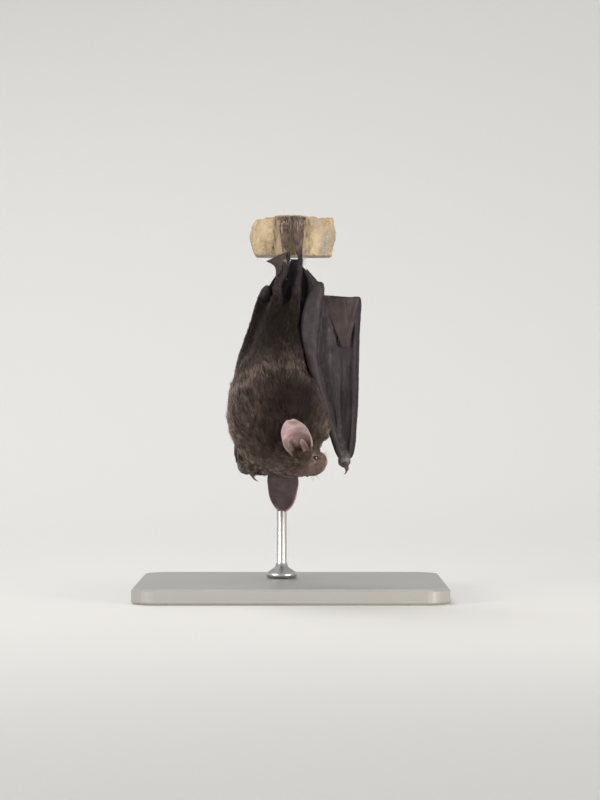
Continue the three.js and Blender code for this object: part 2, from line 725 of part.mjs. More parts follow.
const TIPS = {
  left: wingTip(vec(17.6, 1.2, 55.6), vec(8.6, 0.6, 55.0), vec(14.0, 1.2, 42.6), vec(0, -1, 0)),
  right: wingTip(vec(-6.6, 11.4, 55.0), vec(-6.4, 7.4, 55.4), vec(-10.2, 9.6, 43.0), vec(-1, 0.3, 0)),
};
lay("wing_tip_left", TIPS.left, SKIN_WING, 0.6);
lay("wing_tip_right", TIPS.right, SKIN_WING, 0.6);
lay("hand_membrane_left", handMembrane(LEFT, [0.155, 0.93]), SKIN_WING, 0.6);
lay("hand_membrane_right", handMembrane(RIGHT, [0.2, 0.93]), SKIN_WING, 0.6);
lay("tail_membrane", tailMembrane, SKIN_WING, 0.6);
lay("tail_fold", tailFold, SKIN_WING, 0.6);
lay("arm_membrane_left", armMembrane(FLANKS.left, ARM_EDGES.left, 0.6), SKIN_WING, 0.6);
lay("arm_membrane_right", armMembrane(FLANKS.right, ARM_EDGES.right, 0.6), SKIN_WING, 0.6);

export default root;
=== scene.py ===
# %% [markdown]
# # A small bat asleep, head down, on a display stand
# The solid model brings in the bat as plain closed pieces at their real size, hung from a short piece of
# rock on a rod and a flat base. This lesson gives it its looks: one continuous skin, a coat of about two
# hundred thousand little tufts, wet eyes, horn claws, broken rock, and a plain studio round it.
# All the making is done in millimetres, which suit so small an animal, and each piece is brought to
# metres as it is finished.

import itertools
import math

import bmesh
import bpy
import numpy as np
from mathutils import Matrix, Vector
from mathutils.kdtree import KDTree


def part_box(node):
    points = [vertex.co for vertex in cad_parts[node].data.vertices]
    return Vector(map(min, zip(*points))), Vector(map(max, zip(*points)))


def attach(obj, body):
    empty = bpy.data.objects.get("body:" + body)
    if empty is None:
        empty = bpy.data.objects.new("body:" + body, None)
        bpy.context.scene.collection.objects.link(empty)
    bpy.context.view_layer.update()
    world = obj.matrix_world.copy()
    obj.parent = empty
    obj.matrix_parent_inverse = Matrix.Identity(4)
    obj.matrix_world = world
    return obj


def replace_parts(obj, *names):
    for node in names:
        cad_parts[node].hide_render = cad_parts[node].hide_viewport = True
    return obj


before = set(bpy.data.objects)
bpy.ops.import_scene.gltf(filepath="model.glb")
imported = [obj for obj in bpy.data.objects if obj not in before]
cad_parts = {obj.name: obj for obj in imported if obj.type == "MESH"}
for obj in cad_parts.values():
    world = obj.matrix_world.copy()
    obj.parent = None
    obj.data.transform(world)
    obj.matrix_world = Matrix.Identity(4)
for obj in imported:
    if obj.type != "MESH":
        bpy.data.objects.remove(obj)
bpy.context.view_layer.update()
MM = 0.001
dice = np.random.default_rng(2024)


def span(*names):
    """Lowest and highest corner round some solid pieces, in millimetres."""
    corners = [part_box(name) for name in names]
    low = np.min([low for low, _ in corners], axis=0) / MM
    high = np.max([high for _, high in corners], axis=0) / MM
    return low, high


BAT = [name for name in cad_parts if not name.startswith(("stand_", "perch_"))]
bat_low, bat_high = span(*BAT)
print(len(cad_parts), "solid pieces; the bat is", np.round(bat_high - bat_low, 1), "mm")

# %% [markdown]
# ## Where the viewer stands
# The bat is seen square on, from its own height, as one would look at it on a cave wall. A long lens from
# well back keeps the proportions true: near and far ear are drawn at nearly the same scale. The camera
# aims a little below the bat's middle and to its left, so that the animal sits above the centre.

# %% Camera
VIEW_AWAY = 600
VIEW_HIGH = 206
AIM_RIGHT = 1.6
AIM_DOWN = 9.7
SENSOR = 36
NEAREST_SEEN = 0.01

bat_middle = (bat_low + bat_high) / 2
eye_point = bat_middle + [AIM_RIGHT, 0, -AIM_DOWN]
eye_point[1] -= VIEW_AWAY

camera = bpy.data.objects.new("camera", bpy.data.cameras.new("camera"))
camera.location = Vector(eye_point) * MM
camera.rotation_euler = (math.radians(90), 0, 0)
camera.data.sensor_width = SENSOR
camera.data.lens = SENSOR * VIEW_AWAY / VIEW_HIGH
camera.data.clip_start = NEAREST_SEEN
bpy.context.scene.collection.objects.link(camera)
bpy.context.scene.camera = camera
print("camera at", np.round(eye_point), "mm, lens", round(camera.data.lens, 1))

# %% [markdown]
# ## The studio floor
# A studio's paper floor curves up into its wall, so that no horizon line shows behind the model. Here it
# does so all round, like a bowl, and the ground is plain and pale from every side. The bowl is a profile
# turned about the upright axis. Like most shapes in this lesson it is worked out as arrays of points and
# faces, because joining, smoothing and combing thousands of points is quick that way, and then made a
# mesh in one go.


# %% Floor and wall in one sweep
def mesh_from(name, points, faces):
    """A Blender mesh from points and faces. A face whose last corner repeats is a triangle."""
    mesh = bpy.data.meshes.new(name)
    faces = np.asarray(faces)
    if faces.shape[1] == 4:
        is_three = faces[:, 2] == faces[:, 3]
        groups = [faces[~is_three], faces[is_three][:, :3]]
    else:
        groups = [faces]
    corners = np.concatenate([group.ravel() for group in groups]).astype(np.int32)
    sizes = np.concatenate([np.full(len(group), group.shape[1]) for group in groups])
    mesh.vertices.add(len(points))
    mesh.vertices.foreach_set("co", np.asarray(points, np.float32).ravel())
    mesh.loops.add(len(corners))
    mesh.loops.foreach_set("vertex_index", corners)
    mesh.polygons.add(len(sizes))
    mesh.polygons.foreach_set("loop_start", (np.cumsum(sizes) - sizes).astype(np.int32))
    mesh.update(calc_edges=True)
    mesh.shade_smooth()
    return mesh


FLOOR_FLAT = 450
WALL_BEND = 850
WALL_TOP = 1100
TURNS = 96

bend = np.linspace(-90, 0, 25) * math.pi / 180
profile = [[0.5, 0], [200, 0]]
profile += [[FLOOR_FLAT + WALL_BEND * math.cos(a), WALL_BEND * (1 + math.sin(a))] for a in bend]
profile += [[FLOOR_FLAT + WALL_BEND, WALL_TOP]]
angles = np.linspace(0, 2 * math.pi, TURNS, endpoint=False)
bowl = np.array([[r * math.cos(a), r * math.sin(a), z] for r, z in profile for a in angles])
i = np.arange(len(profile) - 1)[:, None] * TURNS
j = np.arange(TURNS)
k = (j + 1) % TURNS
bowl_faces = np.stack([i + j, i + k, i + k + TURNS, i + j + TURNS], -1).reshape(-1, 4)
floor_mesh = mesh_from("studio_floor", bowl * MM, bowl_faces)
floor = bpy.data.objects.new("studio_floor", floor_mesh)
bpy.context.scene.collection.objects.link(floor)
print("floor and wall", len(bowl_faces), "faces,", WALL_TOP, "mm high")

# %% [markdown]
# ## Finishes as trees of nodes
# A finish is a tree of shader nodes. `Finish` adds them one at a time: a plain number or colour goes
# straight on to a socket, and another node's output is linked to it. That keeps each recipe to a line or
# two. The patterns use the object's own coordinates, in metres, so a noise scale of 1000 has specks about
# a millimetre across. The first finish is the simplest, the matt warm white of the paper.


# %% Finish maker and the paper
class Finish:
    """One material, built up node by node."""

    def __init__(self, name, **sockets):
        self.material = bpy.data.materials.new(name)
        self.material.use_nodes = True
        self.tree = self.material.node_tree
        self.shader = self.tree.nodes["Principled BSDF"]
        self.set(self.shader, {key.replace("_", " "): value for key, value in sockets.items()})
        self.place = self.add("ShaderNodeTexCoord").outputs["Object"]

    def set(self, node, inputs):
        for key, value in inputs.items():
            socket = node.inputs[key]
            if isinstance(value, bpy.types.NodeSocket):
                self.tree.links.new(value, socket)
            elif isinstance(value, tuple) and len(value) == 3 and socket.type == "RGBA":
                socket.default_value = (*value, 1)
            else:
                socket.default_value = value

    def add(self, kind, inputs=None, **settings):
        node = self.tree.nodes.new(kind)
        for key, value in settings.items():
            setattr(node, key, value)
        self.set(node, inputs or {})
        return node

    def noise(self, scale, detail=3.0, rough=0.55, stretch=(1, 1, 1)):
        """A cloudy pattern, drawn out along an axis where its stretch is small."""
        where = self.place
        if stretch != (1, 1, 1):
            where = self.add("ShaderNodeMapping", {"Vector": where, "Scale": stretch}).outputs[0]
        inputs = {"Vector": where, "Scale": scale, "Detail": detail, "Roughness": rough}
        return self.add("ShaderNodeTexNoise", inputs).outputs["Fac"]

    def cells(self, scale, feature="F1", stretch=(1, 1, 1)):
        """A pattern of cells, as the distance to their middles or edges."""
        where = self.add("ShaderNodeMapping", {"Vector": self.place, "Scale": stretch}).outputs[0]
        inputs = {"Vector": where, "Scale": scale}
        return self.add("ShaderNodeTexVoronoi", inputs, feature=feature).outputs["Distance"]

    def step(self, value, low, high, to_low=0.0, to_high=1.0):
        """A value drawn out from one range to another, and held within it."""
        inputs = {"Value": value, "From Min": low, "From Max": high, "To Min": to_low, "To Max": to_high}
        return self.add("ShaderNodeMapRange", inputs).outputs[0]

    def mix(self, share, first, second, blend="MIX"):
        node = self.add("ShaderNodeMix", data_type="RGBA", blend_type=blend)
        self.set(node, {0: share, 6: first, 7: second})
        return node.outputs[2]

    def math(self, kind, first, second=0.0):
        return self.add("ShaderNodeMath", {0: first, 1: second}, operation=kind).outputs[0]

    def mark(self, name):
        """A number stored at each point of the mesh."""
        return self.add("ShaderNodeAttribute", attribute_name=name).outputs["Fac"]

    def bump(self, height, distance):
        """Relief too fine for the mesh, as deep as distance, in metres."""
        inputs = {"Height": height, "Distance": distance, "Strength": 1.0}
        return self.add("ShaderNodeBump", inputs).outputs[0]

    def done(self, **sockets):
        self.set(self.shader, {key.replace("_", " "): value for key, value in sockets.items()})
        return self.material


paper = Finish("studio_paper", Base_Color=(0.78, 0.765, 0.738), Roughness=0.9)
floor_mesh.materials.append(paper.material)
print("finish", paper.material.name, "with", len(paper.tree.nodes), "nodes")

# %% [markdown]
# ## Soft light
# The main light stands low on the viewer's right, which brings out the ear, the cheek and the folded
# wing. A broad light on the left and one overhead soften its shadows, and a high one at the back lights
# the belly side. Four more wash the wall. Both low lights are kept to a narrow beam, or the floor in
# front of them would glare.


# %% Lights
def softbox(name, at, watts, size, tint=(1, 1, 1), towards=bat_middle, spread=180):
    """A square light that faces the bat, or another place. It is itself out of sight."""
    data = bpy.data.lights.new(name, "AREA")
    data.energy, data.size, data.color, data.spread = watts, size * MM, tint, math.radians(spread)
    made = bpy.data.objects.new(name, data)
    made.location = Vector(at) * MM
    made.rotation_euler = (Vector(towards) - Vector(at)).to_track_quat("-Z", "Y").to_euler()
    made.visible_camera = False
    bpy.context.scene.collection.objects.link(made)


WALL_WASH_AT = 650
WALL_WASH_TO = 1300
AIR_LIGHT = 0.42

softbox("main_light", (440, -400, 50), 0.2, 110, (1.0, 0.94, 0.86), spread=40)
softbox("left_fill", (-460, -370, 130), 0.3, 220, (1.0, 0.97, 0.93), spread=60)
softbox("overhead", (0, -40, 720), 1.1, 600)
softbox("far_side", (-300, 560, 900), 4.0, 500)
for n, (x, y) in enumerate([(0, 1), (1, 0), (0, -1), (-1, 0)]):
    at = (WALL_WASH_AT * x, WALL_WASH_AT * y, WALL_WASH_AT)
    softbox(f"wall_wash_{n + 1}", at, 0.85, 600, towards=(WALL_WASH_TO * x, WALL_WASH_TO * y, 150))

world = bpy.data.worlds.new("studio_air")
world.use_nodes = True
world.node_tree.nodes["Background"].inputs["Color"].default_value = (0.95, 0.97, 1.0, 1)
world.node_tree.nodes["Background"].inputs["Strength"].default_value = AIR_LIGHT
bpy.context.scene.world = world
bpy.context.scene.view_settings.view_transform = "Standard"
print(len(bpy.data.lights), "lights of", round(sum(light.energy for light in bpy.data.lights), 2), "W in all")

# %% [markdown]
# ## The head's own directions
# The head is turned well to the bat's left, so shapes on it are easiest to give in the head's own frame:
# x forward to the nose, y to the bat's left, z to the crown. The two solid eyes give the sideways axis
# exactly. The forward axis comes from the tip of the solid muzzle, which lies a known angle below it.


# %% Head frame
def unit(v):
    """Arrows of the same direction, one unit long."""
    return v / np.maximum(np.linalg.norm(v, axis=-1, keepdims=True), 1e-9)


def solid_arrays(name):
    """A solid piece's points and triangles in millimetres, with shared corners made one."""
    work = bmesh.new()
    work.from_mesh(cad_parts[name].data)
    bmesh.ops.remove_doubles(work, verts=work.verts, dist=1e-6)
    bmesh.ops.triangulate(work, faces=work.faces)
    points = np.array([v.co for v in work.verts]) / MM
    triangles = np.array([[v.index for v in f.verts] for f in work.faces])
    work.free()
    return points, triangles


EYES_AHEAD = 5.3
EYES_UP = 1.0
NOSE_DROP = math.radians(27.3)

eye_centres = {side: np.mean(span(f"eye_{side}"), axis=0) for side in ("left", "right")}
to_left = unit(eye_centres["left"] - eye_centres["right"])
between_eyes = (eye_centres["left"] + eye_centres["right"]) / 2
muzzle_points = solid_arrays("muzzle")[0]
snout_way = np.mean(span("muzzle"), axis=0) - np.mean(span("head"), axis=0)
nose_tip = muzzle_points[(muzzle_points @ snout_way).argmax()] - between_eyes
to_nose = unit(nose_tip - to_left * (nose_tip @ to_left))
nose_up = np.cross(to_nose, to_left)
to_front = unit(to_nose * math.cos(NOSE_DROP) + nose_up * math.sin(NOSE_DROP))
to_crown = unit(np.cross(to_front, to_left))
HEAD_AXES = np.stack([to_front, to_left, to_crown])
HEAD_MIDDLE = between_eyes - EYES_AHEAD * to_front - EYES_UP * to_crown
print("head forward", np.round(to_front, 2), "left", np.round(to_left, 2), "crown", np.round(to_crown, 2))


# %% To and from the head's frame
def on_head(points):
    """From the head's own frame to the model's."""
    return np.asarray(points, float) @ HEAD_AXES + HEAD_MIDDLE


def in_head(points):
    """From the model's frame to the head's own."""
    return (np.asarray(points) - HEAD_MIDDLE) @ HEAD_AXES.T


print("head middle", np.round(HEAD_MIDDLE, 2), "left eye", np.round(in_head(eye_centres["left"]), 2))

# %% [markdown]
# ## Ears
# Each ear is a short broad funnel that opens into a blade with a round tip. A parametric leaf suits it:
# across the ear it is an arc, tightly rolled at the root and flatter at the tip. Its thin edge turns out
# a little, and a few low ribs cross the inside, as they do in all insect-eating bats that fold their ears.
# `sheet` gives such a surface its thickness and closes it round the edge.


# %% A thin closed leaf
def sheet(shape, across, along, thick):
    """A closed leaf round shape(u, v), with a thickness given by thick(u, v)."""
    v, u = np.meshgrid(np.linspace(0, 1, along + 1), np.linspace(0, 1, across + 1), indexing="ij")
    middle = shape(u, v)
    out = unit(np.cross(np.gradient(middle, axis=1), np.gradient(middle, axis=0)))
    half = 0.5 * thick(u, v)[..., None]
    front, back = (middle + out * half).reshape(-1, 3), (middle - out * half).reshape(-1, 3)
    row = across + 1
    p = (np.arange(along)[:, None] * row + np.arange(across)).ravel()
    one_face = np.stack([p, p + 1, p + row + 1, p + row], -1)
    other = one_face[:, ::-1] + len(front)
    edge = np.concatenate([
        np.arange(across),
        np.arange(along) * row + across,
        along * row + np.arange(across, 0, -1),
        np.arange(along, 0, -1) * row,
    ])
    after = np.roll(edge, -1)
    rim = np.stack([edge, edge + len(front), after + len(front), after], -1)
    return np.concatenate([front, back]), np.concatenate([one_face, other, rim])


leaf, _ = sheet(lambda u, v: np.stack([u, v, 0 * u], -1), 2, 2, lambda u, v: 0.1 + 0 * u)
print("a flat leaf of two by two faces a side has", len(leaf), "points")


# %% The shape of an ear
def smooth_step(x, low, high):
    """0 below low and 1 above high, with a soft rise between them."""
    t = np.clip((x - low) / (high - low), 0, 1)
    return t * t * (3 - 2 * t)


EAR_LONG = 9.6
EAR_SUNK = 2.2
EAR_HALF = 5.3


def ear_leaf(curl):
    """The blade and funnel of one ear, as its mid surface."""

    def shape(u, v):
        across = 2 * u - 1
        taper = (0.78 + 0.22 * smooth_step(v, 0, 0.4)) * (1 - 0.38 * v)
        half = EAR_HALF * taper * np.sqrt(1 - (0.995 * v) ** 6)
        rolled = curl * (1 - 0.6 * smooth_step(v, 0, 0.9))
        bow = half / rolled
        x = bow * (1 - np.cos(across * rolled))
        inner = 1 - across**4
        turned_edge = 0.4 * np.abs(across) ** 7 * smooth_step(v, 0.15, 0.5)
        ribs = 0.055 * np.sin(v * 46) * inner * smooth_step(v, 0.3, 0.45) * smooth_step(-v, -0.92, -0.75)
        ribs = ribs * smooth_step(-across, -0.35, 0.25)
        keel = 0.12 * np.exp(-(((across - 0.35) / 0.16) ** 2)) * (1 - v)
        ruffle = 0.1 * np.sin(v * 15 + 1) * np.abs(across) ** 5
        x = x - turned_edge + ribs + keel + ruffle
        return np.stack([x, bow * np.sin(across * rolled), v * (EAR_LONG + EAR_SUNK) - EAR_SUNK], -1)

    return shape


def ear_thickness(u, v):
    """Thinner towards the tip, with a slight bead round the edge."""
    rim = np.abs(2 * u - 1) ** 12
    return 0.62 - 0.2 * v + 0.1 * rim


def tragus_leaf(u, v):
    """The blunt lobe that stands in the mouth of the ear, bent a little forwards."""
    half = 0.85 * (1 - 0.45 * v**3) * np.sqrt(1 - (0.96 * v) ** 10)
    across = 2 * u - 1
    return np.stack([1.9 + 0.5 * v + 0.3 * across**2, 1.3 + half * across, 5.6 * v - 1.6], -1)


print("an ear blade is", EAR_LONG, "mm long and sunk", EAR_SUNK, "mm into the head")

# %% [markdown]
# ## The ears on the head
# The left ear is laid back so that its pink inside faces the viewer. The right one hangs straight down
# and shows its dark back. Both are the same leaf, rolled more or less, so each only needs a root on the
# head, a direction to grow in, and a direction to open to.

# %% Both ears in place
EAR_SET = {
    "left": {"root": (-0.7, 6.3, 1.4), "grow": (-0.59, 0.74, 0.29), "face": (0.12, -0.27, 0.94)},
    "right": {"root": (-0.5, -5.9, 0.0), "grow": (0.36, -0.89, 0.3), "face": (0.48, -0.14, -0.89)},
}
EAR_CURL = {"left": 1.45, "right": 0.85}


def at_ear(side, points):
    """Stands points that grow along z, and open along x, at that ear's place on the head."""
    place = EAR_SET[side]
    up = unit(np.array(place["grow"]))
    ahead = np.array(place["face"])
    ahead = unit(ahead - up * (ahead @ up))
    return on_head(points @ np.stack([ahead, np.cross(up, ahead), up]) + place["root"])


ears = {}
for side in ("left", "right"):
    points, faces = sheet(ear_leaf(EAR_CURL[side]), 44, 52, ear_thickness)
    lobe, lobe_faces = sheet(tragus_leaf, 10, 22, lambda u, v: 0.5 - 0.08 * v)
    ears[side] = (at_ear(side, points), faces), (at_ear(side, lobe), lobe_faces)
    made = ears[side][0][0]
    print("ear", side, np.round([made.min(0), made.max(0)], 1).tolist())
    print("   its solid", np.round(span(f"ear_{side}"), 1).tolist())

# %% [markdown]
# ## Feet
# A hanging bat's foot is thin and flat, with five toes of nearly one length. A sole and toes could be
# carved from a block, but a toe is a round rod that swells at its joints, so `loft` is quicker: it makes a
# closed round body along a path, from a few rows of place, width and depth.


# %% A closed round body along a path
def rows_at(rows, t):
    """Rows of numbers read at places t from 0 to 1 along the list, on one smooth curve."""
    rows = np.asarray(rows, float)
    last = len(rows) - 1
    spot = np.clip(np.asarray(t, float) * last, 0, last - 1e-9)
    i = np.floor(spot).astype(int)
    s = (spot - i)[:, None]
    a, b, c, d = [rows[np.clip(i + k, 0, last)] for k in (-1, 0, 1, 2)]
    return b + 0.5 * s * (c - a + s * (2 * a - 5 * b + 4 * c - d + s * (3 * (b - c) + d - a)))


def loft(rows, rings=16, sides=12, side=(1, 0, 0)):
    """A closed round body along rows of x, y, z, half width, half depth, as points and four-sided faces."""
    made = rows_at(rows, np.linspace(0, 1, rings))
    path = made[:, :3]
    along = unit(np.gradient(path, axis=0))
    across = unit(np.asarray(side, float) - along * (along @ np.asarray(side, float))[:, None])
    through = np.cross(along, across)
    turn = np.linspace(0, 2 * math.pi, sides, endpoint=False)
    ring = across[:, None] * (made[:, 3, None] * np.cos(turn))[..., None]
    ring = ring + through[:, None] * (made[:, 4, None] * np.sin(turn))[..., None]
    points = np.concatenate([(path[:, None] + ring).reshape(-1, 3), path[[0, -1]]])
    j = np.arange(sides)
    k = (j + 1) % sides
    start = np.arange(rings - 1)[:, None] * sides
    walls = np.stack([start + j, start + k, start + k + sides, start + j + sides], -1).reshape(-1, 4)
    foot, top = rings * sides, rings * sides + 1
    last = (rings - 1) * sides
    foot_end = np.stack([np.full(sides, foot), k, j, j], -1)
    top_end = np.stack([np.full(sides, top), last + j, last + k, last + k], -1)
    return points, np.concatenate([walls, foot_end, top_end])


plain, _ = loft([[0, 0, 0, 1, 1], [0, 0, 4, 1, 1]])
print("a plain round bar has", len(plain), "points and is", np.ptp(plain[:, 2]).round(1), "mm long")

# %% Soles and toes
TOES = 5
TOE_PITCH = 0.6


def toe_at(n, tip):
    """How far to the side toe n lies, and how high it ends."""
    return (n - (TOES - 1) / 2) * TOE_PITCH, tip - 0.25 * abs(n - 1.6)


def toe_rows(n, x, y, ball, tip):
    """Places along one toe, from the ball of the foot over the knuckle to the claw."""
    off, end = toe_at(n, tip)
    knuckle = ball + (end - ball) * 0.5
    sway = 0.09 * math.sin(2.3 * n + x)
    return [
        [x + off * 0.62, y + 0.15, ball - 1.4, 0.26, 0.3],
        [x + off * 0.9, y - 0.05, ball - 0.1, 0.25, 0.34],
        [x + off * 1.02 + sway, y + 0.02, knuckle - 0.8, 0.2, 0.24],
        [x + off * 1.05 + sway, y - 0.22, knuckle + 0.2 * (n % 2), 0.26, 0.34],
        [x + off * 1.04, y, knuckle + 0.9, 0.19, 0.22],
        [x + off, y + 0.1, end - 0.55, 0.235, 0.3],
        [x + off, y + 0.75, end + 0.08, 0.19, 0.22],
    ]


feet, toe_ends = {}, {}
for side in ("left", "right"):
    low, high = span(f"foot_{side}")
    x, y = (low[0] + high[0]) / 2, low[1] + 0.6
    heel, tip = low[2] - 0.5, high[2] - 0.45
    ball = heel + 0.48 * (tip - heel)
    sole = [
        [x, y, heel - 0.6, 0.35, 0.35],
        [x, y + 0.05, heel + 0.4, 0.75, 0.65],
        [x, y + 0.15, heel + 1.6, 0.95, 0.75],
        [x, y + 0.15, ball - 0.9, 1.2, 0.6],
        [x, y + 0.15, ball - 0.2, 1.3, 0.36],
        [x, y + 0.15, ball + 0.25, 1.2, 0.16],
    ]
    toes = [toe_rows(n, x, y, ball, tip) for n in range(TOES)]
    feet[side] = [loft(sole, rings=20, sides=16)] + [loft(toe, rings=40, sides=10) for toe in toes]
    toe_ends[side] = [(x + off, y + 0.5, end) for off, end in (toe_at(n, tip) for n in range(TOES))]
    print("foot", side, "from heel", round(heel, 1), "to toe tips", round(tip, 1), "mm up")
foot_parts = feet["left"] + feet["right"]

# %% [markdown]
# ## Claws
# The toes' hooked claws bear the sleeping bat's weight without effort, and a larger one on each thumb helps
# it to climb. Claws are horn, so they are pieces of their own, apart from the skin: short lofts that curve
# and end in a point. Those of the toes curve over the edge of the rock.


# %% Claws of toes and thumbs
def hook(root, reach, bend_to, radius):
    """A claw: a curved cone from its root, first along reach and then round to bend_to."""
    root, reach, bend_to = (np.asarray(v, float) for v in (root, reach, bend_to))
    t = np.linspace(0, 1, 6)[:, None]
    path = root + reach * t + (bend_to - reach) * t**2
    size = radius * (1 - 0.93 * t**1.4)
    return loft(np.hstack([path, size, size * 0.8]), rings=12, sides=10)


THUMB_LONG = 1.5
INWARDS = 0.85

claw_parts = {}
for side in ("left", "right"):
    claw_parts[side] = [hook(root, (0, 1.3, 0.75), (0, 1.95, -0.35), 0.21) for root in toe_ends[side]]
    thumb_low, thumb_high = span(f"thumb_claw_{side}")
    thumb_end = np.mean(span(f"thumb_{side}"), axis=0)
    claw_middle = (thumb_low + thumb_high) / 2
    way = unit(claw_middle - thumb_end)
    thumb_root = claw_middle - way * 0.8
    inwards = np.array([-INWARDS if side == "left" else INWARDS, 0.3, 0.1])
    claw_parts[side].append(hook(thumb_root, way * THUMB_LONG, way * 1.35 + inwards, 0.3))
    print(len(claw_parts[side]), "claws,", side, "thumb at", np.round(thumb_root, 1))

# %% [markdown]
# ## Finger bones in the folded wing
# A folded wing is a bundle of long finger bones with skin between them. The solid pieces give only the
# bundle and the flat skin. Thin lofts laid along them before the skin is fused stand out under it as the
# real bones do: three down the outer edge, two across the flat of the hand, and one in the doubled tip.
# The shins are laid over their solids in the same way, so that they taper softly into the ankles.


# %% Places along the solids
def midline(name, heights, reach=2.0, part=lambda points: points):
    """The middle of an upright solid piece, or of a part of it, at some heights."""
    points = part(solid_arrays(name)[0])
    near = np.exp(-(((points[:, 2][None] - heights[:, None]) / reach) ** 2)) + 1e-9
    return (near @ points[:, :2]) / near.sum(1, keepdims=True)


def on_solid(name, guesses):
    """The points of a solid piece's surface that are nearest to some guesses."""
    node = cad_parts[name]
    return np.array([node.closest_point_on_mesh(Vector(p) * MM)[1] for p in guesses]) / MM


finger_low, finger_high = span("fingers_left")
print("the left fingers' middle, from wrist to top:")
print(np.round(midline("fingers_left", np.linspace(finger_low[2], finger_high[2], 3)), 1).tolist())


# %% Finger and hand bones
def finger_bones(side, way):
    """Three bones down the outer edge of the wing. They part a little way above the wrist."""
    low, high = span(f"fingers_{side}")
    heights = np.linspace(low[2] + 0.6, high[2] - 1.2, 9)
    core = midline(f"fingers_{side}", heights, 4.0)
    core = np.stack([np.polyval(np.polyfit(heights, values, 2), heights) for values in core.T], -1)
    spread = smooth_step(heights, low[2] - 2, low[2] + 4)
    t = np.linspace(0, 1, len(heights))
    size = np.linspace(0.42, 0.3, len(heights)) + 0.14 * np.exp(-((t - 0.02) / 0.06) ** 2)
    made = []
    for a in np.radians([-70, -15, 40]):
        aside, back = way * 0.95 * math.cos(a) * spread, 1.2 * math.sin(a) * spread
        path = np.column_stack([core[:, 0] + aside, core[:, 1] + back, heights])
        made.append(loft(np.column_stack([path, size, size]), rings=60, sides=10))
    return made


def hand_bones(side, way):
    """Two bones that fan out from the wrist over the flat of the hand."""
    low, high = span(f"hand_membrane_{side}")
    t = np.linspace(0.04, 0.97, 14)[:, None]
    size = np.linspace(0.36, 0.24, 14)
    made = []
    for start, end in ((0.8, 0.62), (0.62, 0.3)):
        from_x, to_x = (low[0] + (high[0] - low[0]) * (at if way > 0 else 1 - at) for at in (start, end))
        wrist, top = np.array([from_x, low[1], low[2]]), np.array([to_x, low[1], high[2]])
        path = on_solid(f"hand_membrane_{side}", wrist + (top - wrist) * t)
        path[:, 1:2] += 0.1
        made.append(loft(np.column_stack([path, size, size]), rings=50, sides=10))
    return made


bones = []
for side, way in (("left", 1), ("right", -1)):
    bones += finger_bones(side, way) + hand_bones(side, way)
print(len(bones), "bones under the wing skin")

# %% Shins and the bone of the wing tip
TIP_PLACES = 8
SHIN_RADII = np.array([0.9, 0.98, 0.9, 0.8, 0.7, 0.62, 0.5])

knees, ankles = {}, {}
for side in ("left", "right"):
    low, high = span(f"shin_{side}")
    heights = np.linspace(low[2] - 1.2, high[2] + 1.2, len(SHIN_RADII))
    path = np.column_stack([midline(f"shin_{side}", heights, 1.2), heights])
    bones.append(loft(np.column_stack([path, SHIN_RADII, SHIN_RADII]), rings=40, sides=14))
    knees[side], ankles[side] = path[1], path[5]

low, high = span("wing_tip_left")
upper, lower = [high[0] - 0.8, low[1], high[2] - 1], [low[0] + 5.4, low[1], low[2] + 1]
path = on_solid("wing_tip_left", np.linspace(upper, lower, TIP_PLACES))
size = np.tile([0.34, 0.3], (TIP_PLACES, 1))
bones.append(loft(np.hstack([path, size]), rings=30, sides=10))
print("ankles at", {side: np.round(ankle, 1).tolist() for side, ankle in ankles.items()})

# %% [markdown]
# ## Skin that spans the folds
# A folded wing isn't flat. Its skin spans the hollow from the hand to the fingers, and the one from the leg
# to the elbow, like a tent between its poles. The solids leave both hollows open. Such a span could be
# draped as cloth, but it is drawn so tight that a thin leaf ruled between two rows of places is enough.
# Both rows are taken from the solids at its edges, and smoothed so that the leaf doesn't crumple.


# %% Two spans of the left wing
def web(first, second, thick):
    """A skin stretched between two rows of places."""

    def shape(u, v):
        a, b = (rows_at(rows, v.ravel()).reshape(*v.shape, 3) for rows in (first, second))
        return a + (b - a) * u[..., None]

    return sheet(shape, 24, 60, lambda u, v: thick + 0 * u)


WEB_THICK = 0.6
INTO_ARM_SKIN = [[-5.0, 0, 3.4], [-2.2, 0, 1.0], [-1.8, 0, 0], [-1.0, 0, 0]]

hand_low, hand_high = span("hand_membrane_left")
heights = np.linspace(hand_low[2] - 1.0, hand_high[2] - 0.6, 14)
opening = np.clip((heights - hand_low[2] + 1.0) / 9, 0.15, 1.0)[:, None]
finger_line = midline("fingers_left", heights, 4.0)
on_fingers = np.column_stack([finger_line + [0.35, -1.15] * np.sqrt(opening), heights])
on_hand = on_solid("hand_membrane_left", on_fingers - np.hstack([3.2 * opening, opening, 0 * opening]))
on_hand[:, 2] = heights
for k in (0, 1):
    on_hand[:, k] = np.polyval(np.polyfit(heights, on_hand[:, k], 3), heights)

arm_low, arm_high = span("forearm_left")
elbow_heights = arm_high[2] - np.array([0.5, 1.8, 4.0, 7.0])
on_elbow = np.column_stack([midline("forearm_left", elbow_heights, 1.0), elbow_heights])
by_leg = on_solid("arm_membrane_left", on_elbow + INTO_ARM_SKIN)

webs = [web(on_hand, on_fingers, WEB_THICK), web(by_leg, on_elbow, WEB_THICK)]
print("spans by hand and elbow", np.ptp(heights).round(1), np.ptp(elbow_heights).round(1), "mm long")

# %% [markdown]
# ## The tail skin
# The tail is folded round to the belly, and its skin comes with it: a sail on each side, from the tail to
# the knee and the ankle. Its free edge runs straight from the ankle to the tip of the tail. The solid
# only marks where it lies. A leaf between the tail and the leg, with shallow pleats and a slack belly,
# shows that it hangs loose.

